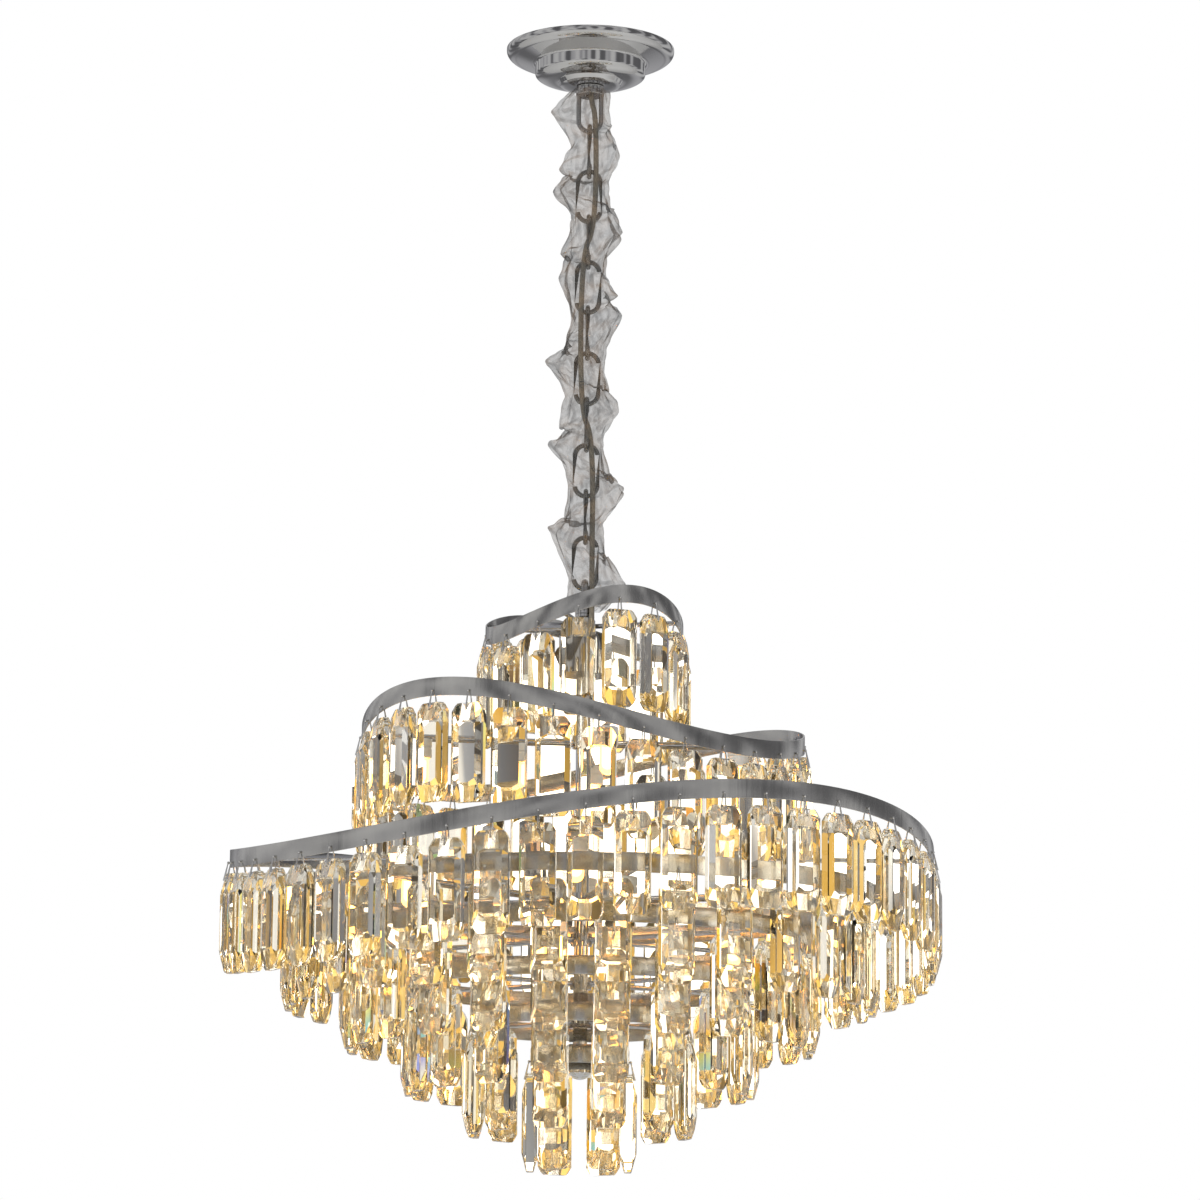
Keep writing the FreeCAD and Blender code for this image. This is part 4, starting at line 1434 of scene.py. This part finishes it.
def chosen(tree, factor, first, second):
    """A colour that goes from one link or colour to another with a factor."""
    mix = add(tree, "ShaderNodeMix", {"data_type": "RGBA"})
    tree.links.new(factor, mix.inputs[0])
    for socket, value in ((mix.inputs[6], first), (mix.inputs[7], second)):
        if isinstance(value, tuple):
            socket.default_value = (*value, 1)
        else:
            tree.links.new(value, socket)
    return mix.outputs[2]


def studio_world():
    """A white background. Metal shows grey panels in it, and glass warm and coloured ones too."""
    world = bpy.data.worlds.new("studio_world")
    bpy.context.scene.world = world
    world.use_nodes = True
    tree = world.node_tree
    tree.nodes.clear()
    stripes = around(tree, 5.0, (1, 1, 0.2))
    panels = toned(tree, stripes,
                   ((0.0, (0.10, 0.10, 0.11)), (0.40, (0.18, 0.18, 0.19)),
                    (0.46, (0.38, 0.38, 0.40)), (0.52, (0.50, 0.50, 0.52)),
                    (0.60, (0.64, 0.64, 0.65)), (1.0, (0.8, 0.8, 0.8))))
    clear = toned(tree, around(tree, 7.0, (1, 1, 0.2)),
                  ((0.0, (0.02, 0.015, 0.01)), (0.39, (0.05, 0.035, 0.015)),
                   (0.40, (0.95, 0.54, 0.10)), (0.435, (1.0, 0.78, 0.32)),
                   (0.44, (0.03, 0.03, 0.035)), (0.465, (0.16, 0.16, 0.17)),
                   (0.50, (0.40, 0.40, 0.42)), (0.505, (1, 0.98, 0.94)), (0.56, (1, 0.98, 0.94)),
                   (0.575, (0.38, 0.38, 0.40)), (0.61, (0.08, 0.08, 0.09)),
                   (0.62, (1.0, 0.60, 0.13)), (0.68, (0.4, 0.25, 0.06)), (1.0, (0.1, 0.06, 0.02))))
    fire = toned(tree, around(tree, 9.0, (1, 1, 1)),
                 ((0.0, (1, 1, 1)), (0.615, (1, 1, 1)), (0.63, (1, 0.62, 0.2)),
                  (0.645, (0.95, 0.95, 0.3)), (0.66, (0.3, 0.75, 0.9)),
                  (0.675, (0.3, 0.3, 0.95)), (0.69, (1, 1, 1)), (1.0, (1, 1, 1))))
    warm = toned(tree, around(tree, 6.0, (1, 1, 1.4)),
                 ((0.0, (0.04, 0.03, 0.01)), (0.40, (0.12, 0.075, 0.02)),
                  (0.455, (0.42, 0.25, 0.05)), (0.485, (1.0, 0.58, 0.10)),
                  (0.55, (1.4, 0.9, 0.22)), (1.0, (1.6, 1.25, 0.6))))
    coordinates = add(tree, "ShaderNodeTexCoord")
    axes = add(tree, "ShaderNodeSeparateXYZ")
    tree.links.new(coordinates.outputs["Generated"], axes.inputs[0])
    steep = ranged(tree, math_node(tree, "ABSOLUTE", axes.outputs["Z"]), 0.0, 1.0, 0.19, 0.25)
    glass = chosen(tree, steep, product_of(tree, clear, fire), warm)
    lamps = toned(tree, around(tree, 16.0, (1, 1, 1)),
                  ((0.0, (0.02, 0.015, 0.01)), (0.47, (0.03, 0.02, 0.01)),
                   (0.51, (1.0, 0.62, 0.12)), (0.56, (1.1, 0.8, 0.3)),
                   (0.60, (0.04, 0.03, 0.02)), (1.0, (0.02, 0.02, 0.02))))
    below = ranged(tree, axes.outputs["Z"], 1.0, 0.0, -0.90, -0.80)
    path = add(tree, "ShaderNodeLightPath")
    shown = chosen(tree, path.outputs["Is Glossy Ray"], (0.6, 0.6, 0.6),
                   chosen(tree, below, panels, lamps))
    shown = chosen(tree, path.outputs["Is Transmission Ray"], shown, glass)
    shown = chosen(tree, path.outputs["Is Camera Ray"], shown, (1.0, 1.0, 1.0))
    background = add(tree, "ShaderNodeBackground", Strength=1.0)
    tree.links.new(shown, background.inputs["Color"])
    output = add(tree, "ShaderNodeOutputWorld")
    tree.links.new(background.outputs[0], output.inputs["Surface"])


class ChandelierStageBuild(bpy.types.Operator):
    """Sets the camera, the floor and the soft studio lights"""
    bl_idname = "chandelier.stage"
    bl_label = "Studio"

    def execute(self, context):
        scene = context.scene
        studio_camera()
        studio_floor()
        studio_world()
        studio_light("key_light", (-1.6, -1.8, 0.4), 1.2, 26.0, (1.0, 0.99, 0.97))
        studio_light("fill_light", (1.9, -1.3, -0.5), 1.4, 14.0, (0.98, 0.99, 1.0))
        studio_light("back_light", (0.6, 2.0, -0.1), 1.4, 16.0, (1.0, 1.0, 1.0))
        scene.view_settings.view_transform = "Standard"
        scene.cycles.max_bounces = 24
        scene.cycles.transmission_bounces = 24
        scene.cycles.glossy_bounces = 8
        scene.cycles.transparent_max_bounces = 24
        return {"FINISHED"}


# ---- add-on --------------------------------------------------------------------------
STEPS = (
    ChandelierFinishes,
    ChandelierStageBuild,
    ChandelierCanopyBuild,
    ChandelierChainBuild,
    ChandelierCordBuild,
    ChandelierSleeveBuild,
    ChandelierBandsBuild,
    ChandelierCrystalsBuild,
    ChandelierLampsBuild,
)


class ChandelierPanel(bpy.types.Panel):
    """Lists the chandelier's pieces in the order in which they are built."""
    bl_idname = "VIEW3D_PT_chandelier"
    bl_label = "Crystal chandelier"
    bl_space_type = "VIEW_3D"
    bl_region_type = "UI"
    bl_category = "Chandelier"

    def draw(self, context):
        for step in STEPS:
            self.layout.operator(step.bl_idname)
        for group, kind in GROUPS.items():
            box = self.layout.box()
            box.label(text=group.capitalize())
            for name in kind.__annotations__:
                box.prop(getattr(context.scene, "chandelier_" + group), name)


def register():
    for group, kind in GROUPS.items():
        bpy.utils.register_class(kind)
        setattr(bpy.types.Scene, "chandelier_" + group, PointerProperty(type=kind))
    for step in STEPS:
        bpy.utils.register_class(step)
    bpy.utils.register_class(ChandelierPanel)


def unregister():
    bpy.utils.unregister_class(ChandelierPanel)
    for step in reversed(STEPS):
        bpy.utils.unregister_class(step)
    for group, kind in GROUPS.items():
        delattr(bpy.types.Scene, "chandelier_" + group)
        bpy.utils.unregister_class(kind)


def main():
    register()
    for step in STEPS:
        family, name = step.bl_idname.split(".")
        getattr(getattr(bpy.ops, family), name)()


if __name__ == "__main__":
    main()
